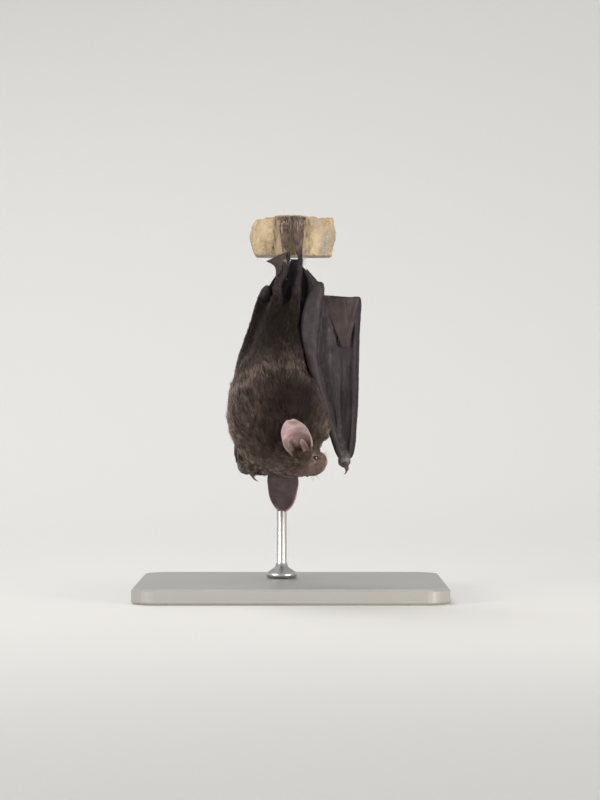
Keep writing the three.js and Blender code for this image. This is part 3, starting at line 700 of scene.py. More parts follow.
# %% Along the tail
tail_low, tail_high = span("tail")
crest = tail_low[1] + 0.6 * (tail_high[1] - tail_low[1])
rising = np.linspace(tail_low[2] + 9, tail_high[2] - 0.6, 4)
falling = np.linspace(tail_high[2] - 0.8, tail_low[2] + 0.6, 8)
tail_path = np.concatenate([
    np.column_stack([midline("tail", rising, 1.0, lambda p: p[p[:, 1] < crest]), rising]),
    np.column_stack([midline("tail", falling, 1.0, lambda p: p[p[:, 1] > crest]), falling]),
])
print("tail from, over and to", np.round(tail_path[[0, 4, -1]], 1).tolist())


# %% Two sails beside the tail
def sail(side):
    """The slack skin between the tail and one leg."""
    knee, ankle = knees[side], ankles[side]
    start = tail_path[0] + (knee - tail_path[0]) * 0.5
    leg = [start, knee, (knee * 2 + ankle) / 3, (knee + ankle * 2) / 3, ankle]

    def shape(u, v):
        from_tail = rows_at(tail_path, v.ravel()).reshape(*v.shape, 3)
        to_leg = rows_at(leg, v.ravel()).reshape(*v.shape, 3)
        slack = np.sin(math.pi * u) * (0.9 * v + 0.25 * np.sin(v * 19) + 0.15 * np.sin(u * 14 + v * 4))
        middle = from_tail + (to_leg - from_tail) * u[..., None]
        middle[..., 1] += slack
        return middle

    return sheet(shape, 30, 60, lambda u, v: 0.34 + 0 * u)


sails = [sail(side) for side in ("left", "right")]
print("sails with", [len(points) for points, _ in sails], "points")

# %% [markdown]
# ## One skin for the whole animal
# The real animal has one skin, so the many solids become one surface. A voxel remesh does it: it fills
# whatever overlaps with tiny cubes and wraps the whole once, where a boolean union would keep every seam.
# Since its result is stepped, points are then drawn towards their neighbours. Going in and out by turns
# keeps thin parts, such as toes and ears, from shrinking.


# %% Through one of Blender's modifiers
def arrays_of(mesh):
    """A mesh's points, and its faces as triangles or as quads with the last corner repeated."""
    points = np.empty(len(mesh.vertices) * 3, np.float32)
    mesh.vertices.foreach_get("co", points)
    mesh.calc_loop_triangles()
    triangles = np.empty(len(mesh.loop_triangles) * 3, np.int32)
    mesh.loop_triangles.foreach_get("vertices", triangles)
    return points.reshape(-1, 3).astype(float), triangles.reshape(-1, 3).astype(np.int64)


def through_modifier(points, faces, kind, **settings):
    """Points and faces after one of Blender's modifiers."""
    mesh = mesh_from("work", points, faces)
    work = bpy.data.objects.new("work", mesh)
    bpy.context.scene.collection.objects.link(work)
    modifier = work.modifiers.new("work", kind)
    for key, value in settings.items():
        setattr(modifier, key, value)
    seen = work.evaluated_get(bpy.context.evaluated_depsgraph_get())
    made = bpy.data.meshes.new_from_object(seen)
    result = arrays_of(made)
    bpy.data.objects.remove(work)
    bpy.data.meshes.remove(mesh)
    bpy.data.meshes.remove(made)
    return result


def joined(parts):
    """Several (points, faces) pairs as one."""
    starts = np.cumsum([0] + [len(points) for points, _ in parts])
    points = np.concatenate([points for points, _ in parts])
    return points, np.concatenate([faces + start for (_, faces), start in zip(parts, starts)])


sole = feet["left"][0]
rounder, _ = through_modifier(*sole, "SUBSURF", levels=1)
print("a sole of", len(sole[0]), "points has", len(rounder), "when it is subdivided")


# %% Fuse overlapping parts
def pairs_of(faces, count):
    """Each pair of points joined by an edge, once."""
    ends = np.concatenate([faces[:, [i, (i + 1) % faces.shape[1]]] for i in range(faces.shape[1])])
    ends = np.sort(ends, axis=1)
    keys = np.unique(ends[:, 0] * count + ends[:, 1])
    return np.stack([keys // count, keys % count], -1)


def largest_piece(points, faces):
    """Only the biggest connected part, so that no scrap is left inside the body."""
    a, b = pairs_of(faces, len(points)).T
    label = np.arange(len(points))
    while True:
        low = np.minimum(label[a], label[b])
        was = label.copy()
        np.minimum.at(label, a, low)
        np.minimum.at(label, b, low)
        label = label[label]
        if np.array_equal(was, label):
            break
    keep = label == np.bincount(label).argmax()
    number = np.cumsum(keep) - 1
    return points[keep], number[faces[keep[faces[:, 0]]]]


def blend_into_one(parts, voxel):
    """Overlapping closed parts as one closed surface."""
    points, faces = joined(parts)
    return largest_piece(*through_modifier(points, faces, "REMESH", mode="VOXEL", voxel_size=voxel))


span_points, span_faces = webs[0]
links = pairs_of(span_faces, len(span_points))
print("the hand's span has", len(links), "edges between its", len(span_points), "points")


# %% Smooth values and shapes over a surface
def relax(values, pairs, times, share=0.5):
    """Values at points drawn towards the mean of their neighbours, again and again."""
    values = np.asarray(values, float)
    flat = values.reshape(len(values), -1).copy()
    a, b = pairs.T
    count = len(flat)
    many = np.maximum(np.bincount(a, minlength=count) + np.bincount(b, minlength=count), 1)
    for _ in range(times):
        for k in range(flat.shape[1]):
            total = np.bincount(a, flat[b, k], count) + np.bincount(b, flat[a, k], count)
            flat[:, k] += share * (total / many - flat[:, k])
    return flat.reshape(values.shape)


def relax_shape(points, pairs, times):
    """Smoothing that goes in and out by turns, so that thin parts don't shrink."""
    for _ in range(times):
        points = relax(points, pairs, 1, 0.5)
        points = relax(points, pairs, 1, -0.52)
    return points


def normals_of(points, triangles):
    """Which way the surface faces at each point."""
    a, b, c = (points[triangles[:, k]] for k in range(3))
    flat = np.cross(b - a, c - a)
    total = [sum(np.bincount(triangles[:, k], flat[:, n], len(points)) for k in range(3)) for n in range(3)]
    return unit(np.stack(total, -1))


softer = relax([0.0, 1.0, 0.0], np.array([[0, 1], [1, 2]]), 1)
print("a 1 between two 0s, smoothed once:", softer.tolist())

# %% [markdown]
# ## The furred body
# The solids that carry fur are fused first, because their skin has to be drawn in by the depth of the
# coat: the hair tips, not the skin, give the outline. The depth is known for each solid. Random places on
# the solids carry it over to the fused surface, where each point takes it from the nearest one. It
# fades where bare skin is near, such as along the forearm.


# %% Random places and nearest places
def random_spots(points, triangles, count, weight=None):
    """Random places on a surface: which triangle, and the three shares of its corners."""
    a, b, c = (points[triangles[:, k]] for k in range(3))
    area = 0.5 * np.linalg.norm(np.cross(b - a, c - a), axis=1)
    chance = area if weight is None else area * weight[triangles].mean(1)
    which = np.searchsorted(np.cumsum(chance) / chance.sum(), dice.random(count))
    which = np.minimum(which, len(triangles) - 1)
    s, t = np.sqrt(dice.random(count)), dice.random(count)
    return which, np.stack([1 - s, s * (1 - t), s * t], -1), chance.sum()


def tree_of(points):
    """Points sorted in space, to be asked for the nearest one."""
    tree = KDTree(len(points))
    for i, point in enumerate(points):
        tree.insert(point, i)
    tree.balance()
    return tree


def nearest(tree, points):
    """For each point, the number of the nearest one in the tree and how far it is."""
    found = [tree.find(point)[1:] for point in points]
    return np.array([i for i, _ in found]), np.array([gap for _, gap in found])


def spots_on(name, count):
    """Random places on the surface of a solid piece."""
    points, triangles = solid_arrays(name)
    which, shares, _ = random_spots(points, triangles, count)
    return (points[triangles[which]] * shares[..., None]).sum(1)


near_eye, gap = nearest(tree_of(list(eye_centres.values())), [ears["left"][0][0][0]])
print("left ear's root nearest to the", list(eye_centres)[near_eye[0]], "eye,", round(gap[0], 1), "mm off")

# %% Fuse the furred solids
COAT_DEPTH = {"neck": 1.6, "chest": 1.7, "abdomen": 1.6, "rump": 1.3}
COAT_DEPTH |= {"head": 1.0, "muzzle": 0.3, "lower_jaw": 0.3}
COAT_DEPTH |= {f"{limb}_{side}": 0.55 for limb in ("thigh", "upper_arm") for side in ("left", "right")}
REMADE = ("ear_", "tragus_", "foot_", "eye_", "thumb_claw_")
BARE = [name for name in BAT if name not in COAT_DEPTH and not name.startswith(REMADE)]
CORE_VOXEL = 0.3
CLOSE_GAPS = 0.2


def swollen(name, by):
    """A solid piece grown a little, which closes the gaps between neighbours."""
    points, triangles = solid_arrays(name)
    return points + normals_of(points, triangles) * by, triangles


points, core_faces = blend_into_one([swollen(name, CLOSE_GAPS) for name in COAT_DEPTH], CORE_VOXEL)
pairs = pairs_of(core_faces, len(points))
points = relax_shape(points, pairs, 6)
points = relax(points, pairs, 6)
print("furred body", len(points), "points from", len(COAT_DEPTH), "solids;", len(BARE), "solids are bare")

# %% Draw it in by the depth of the coat
FURRED_SPOTS = 2500
BARE_SPOTS = 900
FADE_NEAR_BARE = 2.4

marks = [spots_on(name, FURRED_SPOTS) for name in COAT_DEPTH]
mark_of = np.repeat(list(COAT_DEPTH), FURRED_SPOTS)
found, _ = nearest(tree_of(np.concatenate(marks)), points)
core_names = mark_of[found]
depth = relax([COAT_DEPTH[name] for name in core_names], pairs, 25)

bare_marks = [spots_on(name, BARE_SPOTS) for name in BARE]
bare_tree = tree_of(np.concatenate(bare_marks))
_, gap = nearest(bare_tree, points)
core_depth = relax(depth * smooth_step(gap, 0.4, FADE_NEAR_BARE), pairs, 8)
core_points = points - normals_of(points, core_faces) * (core_depth + CLOSE_GAPS)[:, None]
print("coat depth up to", round(core_depth.max(), 2), "mm, mean", round(core_depth.mean(), 2), "mm")

# %% [markdown]
# ## Fur tucked in behind the forearm
# The folded forearm lies on top of the fur, and the coat ends in a clean line behind it. In the solids
# the body swells past that line. Cutting it off would leave a ridge, so every point that lies beyond the
# line is drawn back to it, fully along the middle of the arm and less and less towards its ends.

# %% Draw the body back to the arm's line
TUCKED = 1.7

heights = np.linspace(arm_low[2] + 2, arm_low[2] + 30, 12)
arm_line = midline("forearm_left", heights, 2.5)[:, 0]
edge_x = np.interp(core_points[:, 2], heights, arm_line) - TUCKED
beside = smooth_step(core_points[:, 2], arm_low[2] + 4.5, arm_low[2] + 8)
beside = beside * smooth_step(-core_points[:, 2], -arm_low[2] - 29, -arm_low[2] - 24)
beyond = np.maximum(core_points[:, 0] - edge_x, 0)
drawn = beside * beyond
core_points[:, 0] -= drawn
core_points = relax(core_points, pairs, 12)
print(int((drawn > 0).sum()), "points drawn back, by up to", round(drawn.max(), 2), "mm")

# %% [markdown]
# ## Wings, tail, ears and feet join in
# The bare parts are fused on to the furred body in one more remesh, with cubes small enough for a toe. In
# the solids, the skins of arm and tail end in square corners beside the leg. On the animal they run
# together at the ankle, so their upper corners are drawn in to the nearer ankle first.

# %% Fuse the bare parts on
SKIN_VOXEL = 0.13
SWELL = 0.12
GATHER_FROM = 5
GATHER_TO = 0.8
GATHER = 0.85


def gathered(name):
    """A bare piece a little swollen. The upper corners of the leg skins run in to the nearer ankle."""
    points, triangles = swollen(name, SWELL)
    if name.startswith(("arm_membrane", "tail_membrane")):
        aside = [np.abs(points[:, :1] - ankles[side][0]) for side in ("left", "right")]
        nearer = np.where(aside[0] < aside[1], ankles["left"], ankles["right"])
        top = points[:, 2].max()
        share = GATHER * smooth_step(points[:, 2], top - GATHER_FROM, top - GATHER_TO)[:, None]
        points = points + share * (nearer - points) * ([1, 1, 0] if "arm" in name else [0, 1, 0])
    return points, triangles


everything = [(core_points, core_faces)]
everything += [gathered(name) for name in BARE if not name.startswith("shin_")]
for points, faces in [*foot_parts, *bones, *webs, *sails, *ears["left"], *ears["right"]]:
    everything.append((points, np.concatenate([faces[:, [0, 1, 2]], faces[:, [0, 2, 3]]])))
points, faces = blend_into_one(everything, SKIN_VOXEL)
pairs = pairs_of(faces, len(points))
points = relax_shape(points, pairs, 10)
points = relax(points, pairs, 3)
print("skin", len(points), "points,", len(faces), "triangles")

# %% [markdown]
# ## Modelling the face
# Now the skin can be worked like clay: a point is pushed along the surface's normal by an amount that
# depends on where it lies on the head. Small hollows make the nostrils and eye sockets, low rings make
# the lids, swellings make the glands on the muzzle, and a fine groove parts the lips. Sculpting by hand
# would give the same forms, but amounts worked out from the place come out alike on both sides.


# %% Clay tools
def push(points, normals, amount):
    """Points moved out along their normals, or in where the amount is below nil."""
    return points + normals * amount[:, None]


def knob(places, at, reach):
    """1 at a place on the head, falling off to 0 around it."""
    return np.exp(-(((places - at) ** 2).sum(1)) / reach**2)


def ridge(gap, width):
    """1 where a gap is nil, falling off to 0 on both sides."""
    return np.exp(-((gap / width) ** 2))


head_part = np.linalg.norm(in_head(points) - [4, 0, -0.5], axis=1) < 9
places = in_head(points[head_part])
print("the face has", len(places), "points to model")

# %% Eyes, nose and mouth
EYE_OUT = 2.8
EYE_RADIUS = 0.6

amount = np.zeros(len(places))
for way in (1, -1):
    eye_gap = np.linalg.norm(places - [EYES_AHEAD, way * EYE_OUT, EYES_UP], axis=1)
    socket, lid, fold = ridge(eye_gap, 0.62), ridge(eye_gap - 0.82, 0.2), ridge(eye_gap - 1.3, 0.18)
    cheek_gland = knob(places, [7.2, way * 2.5, -0.5], 1.25)
    nose_side = knob(places, [9.0, way * 0.95, -1.0], 0.6)
    nostril = knob(places, [9.45, way * 0.78, -1.12], 0.3)
    jowl = knob(places, [4.6, way * 3.0, -2.6], 1.2)
    amount = amount - 0.3 * socket + 0.17 * lid + 0.08 * fold
    amount = amount + 0.42 * cheek_gland + 0.3 * nose_side - 0.62 * nostril + 0.2 * jowl
amount -= 0.5 * knob(places, [6.3, 0, 2.3], 1.7)
amount += 0.25 * knob(places, [2.4, 0, 4.2], 2.2)
amount -= 0.2 * ridge(places[:, 1], 0.2) * smooth_step(places[:, 0], 8.9, 9.4)
over_lip = places[:, 2] - (-2.5 - 0.1 * (8.5 - places[:, 0]))
along_mouth = smooth_step(places[:, 0], 3.9, 4.8)
amount -= 0.38 * ridge(over_lip, 0.17) * along_mouth
amount += 0.14 * ridge(over_lip - 0.45, 0.25) * along_mouth
amount += 0.12 * ridge(over_lip + 0.45, 0.25) * along_mouth
points[head_part] = push(points[head_part], normals_of(points, faces)[head_part], amount)
print("deepest hollow", round(-amount.min(), 2), "mm, highest swelling", round(amount.max(), 2), "mm")

# %% [markdown]
# ## Creases in the bare skin
# Folded wing skin is never smooth: it lies in fine creases along the arm and shallow ripples between
# them. Both are noise, drawn out along the body, and pushed into the mesh so that they catch the light
# at the edges as well. Then the skin is thinned to a weight that a library can carry.


# %% Smooth random numbers
def drift(points, size, seed):
    """Smooth random numbers from -1 to 1 that change over about `size` millimetres."""
    q = np.asarray(points) / size
    cell = np.floor(q).astype(np.int64)
    f = q - cell
    f = f * f * (3 - 2 * f)
    total = np.zeros(len(q))
    for corner in itertools.product((0, 1), repeat=3):
        x, y, z = (cell + corner).T
        code = (x * 73856093) ^ (y * 19349663) ^ (z * 83492791) ^ (seed * 6542989)
        code = ((code ^ (code >> 13)) * 1274126177) & 0xFFFFFF
        value = ((code ^ (code >> 9)) & 0xFFFF) / 32767.5 - 1
        total += value * np.prod(np.where(corner, f, 1 - f), axis=1)
    return total


tries = drift(points[::500], 5.0, 1)
print("drift runs from", round(tries.min(), 2), "to", round(tries.max(), 2))

# %% Crease, ripple and thin the skin
SKIN_TRIANGLES = 192000

_, to_bare = nearest(bare_tree, points)
bareness = smooth_step(-to_bare, -0.7, -0.25)
crease = 1 - np.abs(drift(points * [1.0, 1.0, 0.22], 0.55, 5)) * 1.6
ripple = drift(points * [1.0, 1.0, 0.4], 1.6, 9)
points = push(points, normals_of(points, faces), bareness * (0.035 * crease + 0.05 * ripple))
points, faces = through_modifier(points, faces, "DECIMATE", ratio=SKIN_TRIANGLES / len(faces))
print("skin after thinning", len(points), "points,", len(faces), "triangles")

# %% [markdown]
# ## What lies where on the skin
# The finish of the skin changes from place to place: furred, wing, forearm, foot, face, inside and back
# of the ears. Painting it by hand would do, but the solids already say what is what: each point of the
# skin takes the name of the nearest solid or ear surface. The names become numbers from 0 to 1, softened
# over the mesh, so that one finish fades into the next.

# %% Name each part of the skin
zone_marks, zone_names = [core_points[::2]], list(core_names[::2])
for name, spots in zip(BARE, bare_marks):
    zone_marks.append(spots)
    zone_names += [name.removesuffix("_left").removesuffix("_right")] * len(spots)
for label, made_parts in (("foot", foot_parts), ("sail", sails)):
    for part, _ in made_parts:
        zone_marks.append(part)
        zone_names += [label] * len(part)
for side in ("left", "right"):
    (leaf, _), (lobe, _) = ears[side]
    half = len(leaf) // 2
    zone_marks += [leaf[:half], leaf[half:], lobe]
    zone_names += ["ear_front"] * half + ["ear_back"] * half + ["tragus"] * len(lobe)
found, _ = nearest(tree_of(np.concatenate(zone_marks)), points)
zone = np.array(zone_names)[found]
normals = normals_of(points, faces)
pairs = pairs_of(faces, len(points))
names, counts = np.unique(zone, return_counts=True)
print(dict(zip(names.tolist(), counts.tolist())))


# %% Soft shares of each kind of skin
def zone_share(names, times=5):
    """1 on the named parts and 0 elsewhere, softened at the edges."""
    return relax(np.isin(zone, names).astype(float), pairs, times)


SHARES = {
    "furred": zone_share(list(COAT_DEPTH), 6),
    "arm": zone_share(["forearm", "wrist"], 6),
    # The wrist share carries a painted pale highlight in the colour, and real gloss in the roughness.
    "wrist": zone_share(["wrist"], 12),
    "foot": zone_share(["foot", "thumb"], 8),
    "tip": zone_share(["wing_tip", "tail_fold"], 4),
    "face": zone_share(["muzzle", "lower_jaw"], 14),
    "ear_front": zone_share(["ear_front", "tragus"], 2),
    "ear_back": zone_share(["ear_back"], 2),
}
# Painted highlight: a pale band along the ears' rims, where they catch the light.
edge_v = np.linspace(0.22, 0.97, 90)
rim_places = [(np.zeros(90), edge_v), (np.ones(90), edge_v), (np.linspace(0, 1, 24), np.full(24, 1.0))]
rims = [at_ear(side, ear_leaf(EAR_CURL[side])(u, v)) for side in ears for u, v in rim_places]
_, rim_gap = nearest(tree_of(np.concatenate(rims)), points)
SHARES["ear_rim"] = 0.8 * relax(smooth_step(-rim_gap, -0.36, -0.12), pairs, 1)
zone_depth = np.concatenate([core_depth[::2], np.zeros(len(zone_names) - len(core_depth[::2]))])
depth_here = relax(zone_depth[found], pairs, 3)
print({name: int(share.sum()) for name, share in SHARES.items()})

# %% [markdown]
# ## Colours of the coat, shared by skin and hair
# The fur is very dark brown at the root and greyer at the tip, as if frosted, with warmer and cooler
# patches a few millimetres across. An arch of paler tips crosses the shoulders and the left flank: partly
# the coat's frost and partly a painted sheen where the hair catches the light. Painted shadow of the ear
# darkens the nape and the fur behind the ear, and painted shade darkens the upper back towards the rump.
# Skin and hair must agree wherever one shows through the other, so the colour is worked out by one recipe
# that both finishes use. It needs only the place and how far along the hair the point lies.


# %% Patches round places of the model
# Middle of the arch of paler tips: partly the coat's frost, partly painted sheen where the hair catches the
# light.
FROST_AND_SHEEN_ARCH_MIDDLE = HEAD_MIDDLE + [-1.8, -4, 8.7]
# Painted shadow: round these two places, on the nape and behind the ear, the fur is painted darker where the
# shadow of the ear and head falls.
EAR_SHADOW_ON_NAPE = HEAD_MIDDLE + [1, -7, 14.5]
EAR_SHADOW_BEHIND = HEAD_MIDDLE + [-5.7, -6, 5]
FACE = on_head([6.5, 0, 0])
# Painted shade: between these heights the fur is painted darker up the back towards the rump, where shade
# falls.
RUMP_SHADE_FROM = bat_low[2] + 36.5
RUMP_SHADE_TO = bat_low[2] + 45.5


def near_to(finish, middle, far, close):
    """1 near a place of the model, falling to 0 away from it."""
    inputs = {0: finish.place, 1: tuple(np.asarray(middle) * MM)}
    gap = finish.add("ShaderNodeVectorMath", inputs, operation="DISTANCE").outputs["Value"]
    return finish.step(gap, far * MM, close * MM)


def less(finish, value, share):
    """A value taken down by a share that is itself from 0 to 1."""
    return finish.math("MULTIPLY", value, finish.math("SUBTRACT", 1.0, share))


print("nape at", np.round(EAR_SHADOW_ON_NAPE, 1), "the rump darkens from", round(RUMP_SHADE_FROM, 1), "mm up")


# %% Coat colour recipe and the fur's finish
def coat_frost(finish, along, tint):
    """How much of the pale tip shows: most on the arch over the shoulders and left flank, where painted sheen
    adds to the frost, less on the crown.
    """
    frost = finish.math("MULTIPLY", finish.step(along, 0.4, 1.0), finish.step(tint, 0.36, 0.92))
    within = near_to(finish, FROST_AND_SHEEN_ARCH_MIDDLE, 19.0, 16.0)
    frost_and_sheen_arch = less(finish, within, near_to(finish, FROST_AND_SHEEN_ARCH_MIDDLE, 15.0, 12.0))
    # Painted sheen: on the arch the pale tips show up to 2.6 times as much, held to 1 below.
    frost = finish.math("MULTIPLY", frost, finish.step(frost_and_sheen_arch, 0.0, 1.0, 0.9, 2.6))
    frost = finish.math("MINIMUM", frost, 1.0)
    return less(finish, frost, finish.math("MULTIPLY", near_to(finish, HEAD_MIDDLE, 12.0, 8.0), 0.4))


def coat_colour(finish, along, tint):
    """Colour of the coat at a place, from root (0) to tip (1)."""
    patches = finish.step(finish.noise(170, 2), 0.35, 0.65)
    root = finish.mix(patches, (0.017, 0.0105, 0.0075), (0.025, 0.0165, 0.012))
    middle = finish.mix(patches, (0.06, 0.038, 0.028), (0.09, 0.06, 0.046))
    tip = finish.mix(patches, (0.38, 0.28, 0.235), (0.54, 0.43, 0.38))
    middle = finish.mix(finish.step(tint, 0.1, 0.7), root, middle)
    lower = finish.mix(finish.step(along, 0.05, 0.6), root, middle)
    colour = finish.mix(coat_frost(finish, along, tint), lower, tip)
    on_face = finish.mix(along, middle, (0.3, 0.215, 0.18))
    colour = finish.mix(near_to(finish, FACE, 7.5, 3.0), colour, on_face)
    # Painted shade: this dark colour is laid where the ear's shadow falls and over the upper back towards the
    # rump.
    painted_shade = finish.mix(0.12, root, middle)
    for place, far, close, share in ((EAR_SHADOW_BEHIND, 7.0, 3.0, 0.6), (EAR_SHADOW_ON_NAPE, 11.5, 5.0, 0.85)):
        colour = finish.mix(finish.math("MULTIPLY", near_to(finish, place, far, close), share), colour, painted_shade)
    # Painted shade on the upper back, towards the rump.
    high = finish.add("ShaderNodeSeparateXYZ", {0: finish.place}).outputs[2]
    return finish.mix(finish.step(high, RUMP_SHADE_FROM * MM, RUMP_SHADE_TO * MM, 0.0, 0.95), colour, painted_shade)


of_fur = Finish("bat_fur")
fur_colour = coat_colour(of_fur, of_fur.mark("along"), of_fur.mark("tint"))
bat_fur = of_fur.done(Base_Color=fur_colour, Roughness=0.45, Specular_IOR_Level=0.3)
print("fur finish", bat_fur.name, "has", len(of_fur.tree.nodes), "nodes")

# %% [markdown]
# ## The finish of the skin
# One finish covers the whole skin, because one zone has to fade into the next: dark purplish wing skin with
# pale veins, greyer skin drawn tight over the forearm, a glossy wrist painted pale as a highlight, brown
# feet, a pinkish face, and ears that are dark on the back and pink inside, with a painted pale highlight
# along their rims. Each has its own cloudy pattern between two colours, since living skin is never one flat
# tone.
# Then the stored numbers lay one over the other.


# %% Wing, arm and foot colours
def clouded(finish, scale, detail, low, high, first, second):
    """A cloudy mix of two colours, and the cloud itself."""
    cloud = finish.step(finish.noise(scale, detail), low, high)
    return finish.mix(cloud, first, second), cloud


of_skin = Finish("bat_skin")
wing, wing_cloud = clouded(of_skin, 220, 4, 0.35, 0.68, (0.0125, 0.0088, 0.0115), (0.0235, 0.0172, 0.0212))
veins = of_skin.step(of_skin.cells(330, "DISTANCE_TO_EDGE", (1, 1, 0.3)), 0.0, 0.035, 0.12, 0.0)
wing = of_skin.mix(veins, wing, (0.075, 0.055, 0.055))
tip_skin = of_skin.mix(wing_cloud, (0.023, 0.015, 0.0152), (0.045, 0.031, 0.031))
wing = of_skin.mix(of_skin.mark("tip"), wing, tip_skin)
arm, arm_cloud = clouded(of_skin, 500, 3, 0.3, 0.7, (0.0225, 0.0172, 0.0198), (0.043, 0.034, 0.038))
# Painted highlight: the wrist is coloured paler than the arm to stand for the shine on its stretched skin.
wrist = of_skin.mix(arm_cloud, (0.05, 0.042, 0.04), (0.14, 0.125, 0.118))
foot, _ = clouded(of_skin, 700, 3, 0.35, 0.65, (0.036, 0.023, 0.021), (0.115, 0.078, 0.068))
print("wing, arm and foot colours take", len(of_skin.tree.nodes), "nodes")

# %% Face and ear colours
EAR_PINK = at_ear("left", np.array([0.5, -0.9, 6.4]))

face, _ = clouded(of_skin, 900, 3, 0.35, 0.65, (0.16, 0.11, 0.095), (0.34, 0.25, 0.228))
pink, pink_cloud = clouded(of_skin, 380, 3, 0.3, 0.7, (0.24, 0.148, 0.15), (0.5, 0.37, 0.38))
deep = of_skin.mix(pink_cloud, (0.1, 0.062, 0.052), (0.19, 0.135, 0.12))
inside_ear = of_skin.mix(near_to(of_skin, EAR_PINK, 6.2, 2.6), deep, pink)
ear_dark, _ = clouded(of_skin, 420, 4, 0.3, 0.7, (0.027, 0.018, 0.0185), (0.058, 0.041, 0.0415))
print("the pinkest place of the left ear is at", np.round(EAR_PINK, 1))

# %% Lay the colours over each other
colour = of_skin.mix(of_skin.mark("arm"), wing, arm)
# Painted highlight on the wrist.
colour = of_skin.mix(of_skin.mark("wrist"), colour, wrist)
colour = of_skin.mix(of_skin.mark("foot"), colour, foot)
colour = of_skin.mix(of_skin.mark("furred"), colour, coat_colour(of_skin, 0.3, 0.5))
colour = of_skin.mix(of_skin.mark("face"), colour, face)
colour = of_skin.mix(of_skin.mark("ear_back"), colour, ear_dark)
colour = of_skin.mix(of_skin.mark("ear_front"), colour, inside_ear)
# Painted highlight along the ears' rims.
colour = of_skin.mix(of_skin.mark("ear_rim"), colour, (0.36, 0.27, 0.255))
print("with the coat's colour and all zones", len(of_skin.tree.nodes), "nodes")

# %% [markdown]
# ## Relief and gloss of the skin, and the piece itself
# Wrinkles finer than the mesh can hold are bump: long ones down the wing, short ones across, and pores.
# Bare skin is slightly uneven in its gloss, and glossiest where it is stretched over the wrist. The
# finished skin takes the place of all the solids of the bat but the eyes and the claws of the thumbs.


# %% Relief and gloss
wrinkle = of_skin.noise(800, 4, 0.6, (1, 1, 0.2))
cross = of_skin.noise(1500, 3, 0.5, (0.35, 0.35, 1.6))
pores = of_skin.noise(4200, 2)
height = of_skin.math("MULTIPLY", wrinkle, 0.0003)
for part, depth_m in ((cross, 0.00009), (pores, 0.00003)):
    height = of_skin.math("ADD", height, of_skin.math("MULTIPLY", part, depth_m))
rough = of_skin.step(of_skin.noise(600, 3), 0.3, 0.7, 0.46, 0.66)
rough = of_skin.math("SUBTRACT", rough, of_skin.math("MULTIPLY", of_skin.mark("wrist"), 0.18))
relief = of_skin.bump(height, 1.0)
bat_skin = of_skin.done(Base_Color=colour, Roughness=rough, Specular_IOR_Level=0.22, Normal=relief)
print("skin finish", bat_skin.name, "has", len(of_skin.tree.links), "links")


# %% The skin as a piece
def piece(name, points, faces, material, slot):
    """A finished piece in metres, riding on the model's one body."""
    mesh = mesh_from(name, np.asarray(points) * MM, faces)
    mesh.materials.append(material)
    made = bpy.data.objects.new(name, mesh)
    bpy.context.scene.collection.objects.link(made)
    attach(made, "root")
    return made


skin = piece("skin", points, faces, bat_skin, "wing_skin")
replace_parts(skin, *[name for name in BAT if not name.startswith(("eye_", "thumb_claw_"))])
for name, share in SHARES.items():
    skin.data.attributes.new(name, "FLOAT", "POINT").data.foreach_set("value", share.astype(np.float32))
print("skin from", np.round(points.min(0), 1), "to", np.round(points.max(0), 1))
print("the solid bat from", np.round(bat_low, 1), "to", np.round(bat_high, 1))

# %% [markdown]
# ## How the coat lies
# Fur on so small an animal is dense and short. It grows towards the tail, on the head towards the nape,
# and swirls a little. Blender's hair curves could follow such a flow, but the coat has to leave Blender as
# plain mesh, so the flow is worked out as one arrow at each point of the skin, and tufts follow it.

# %% Flow of the coat
SWIRL = 0.28
SWIRL_SIZE = 5.0
LEAN_OUT = 0.25

body_low, body_high = span("chest", "abdomen", "rump")
body_axis = (body_low + body_high) / 2
places = in_head(points)
headness = relax(np.isin(zone, ["head", "muzzle", "lower_jaw"]).astype(float), pairs, 60)[:, None]
outwards = LEAN_OUT * (points[:, :1] - body_axis[0]) / 12
down_body = np.array([0, 0, 1.0]) + np.array([1.0, 0, 0]) * outwards
flow = headness * -to_front + (1 - headness) * unit(down_body)
flow = flow + SWIRL * np.stack([drift(points, SWIRL_SIZE, 11 + n) for n in range(3)], -1)
flow = unit(flow - normals * (flow * normals).sum(1, keepdims=True))
print("mean flow on the body", np.round(flow[headness[:, 0] < 0.1].mean(0), 2))

# %% [markdown]
# ## One tuft
# Each tuft stands for a few hairs. The long ones are thin closed spikes with a bend, seven points each,
# that grow out of the skin at an angle and then lie over. Short straight ones of four points fill in
# between them. Neighbours lean together into locks, as real fur does, because an even lawn of separate
# hairs looks like carpet. The tips end where the solid model's outline is.


# %% Lean, bend and clump the tufts
ROOT_DEEP = 0.12
TUFTS_IN_LOCK = 30
LEAST_LOCKS = 8
LOCK = 0.38
LOCK_SIZE = 0.85
EAR_CLEAR = 0.55

ear_tree = tree_of(np.concatenate([part[0] for side in ears for part in ears[side]]))


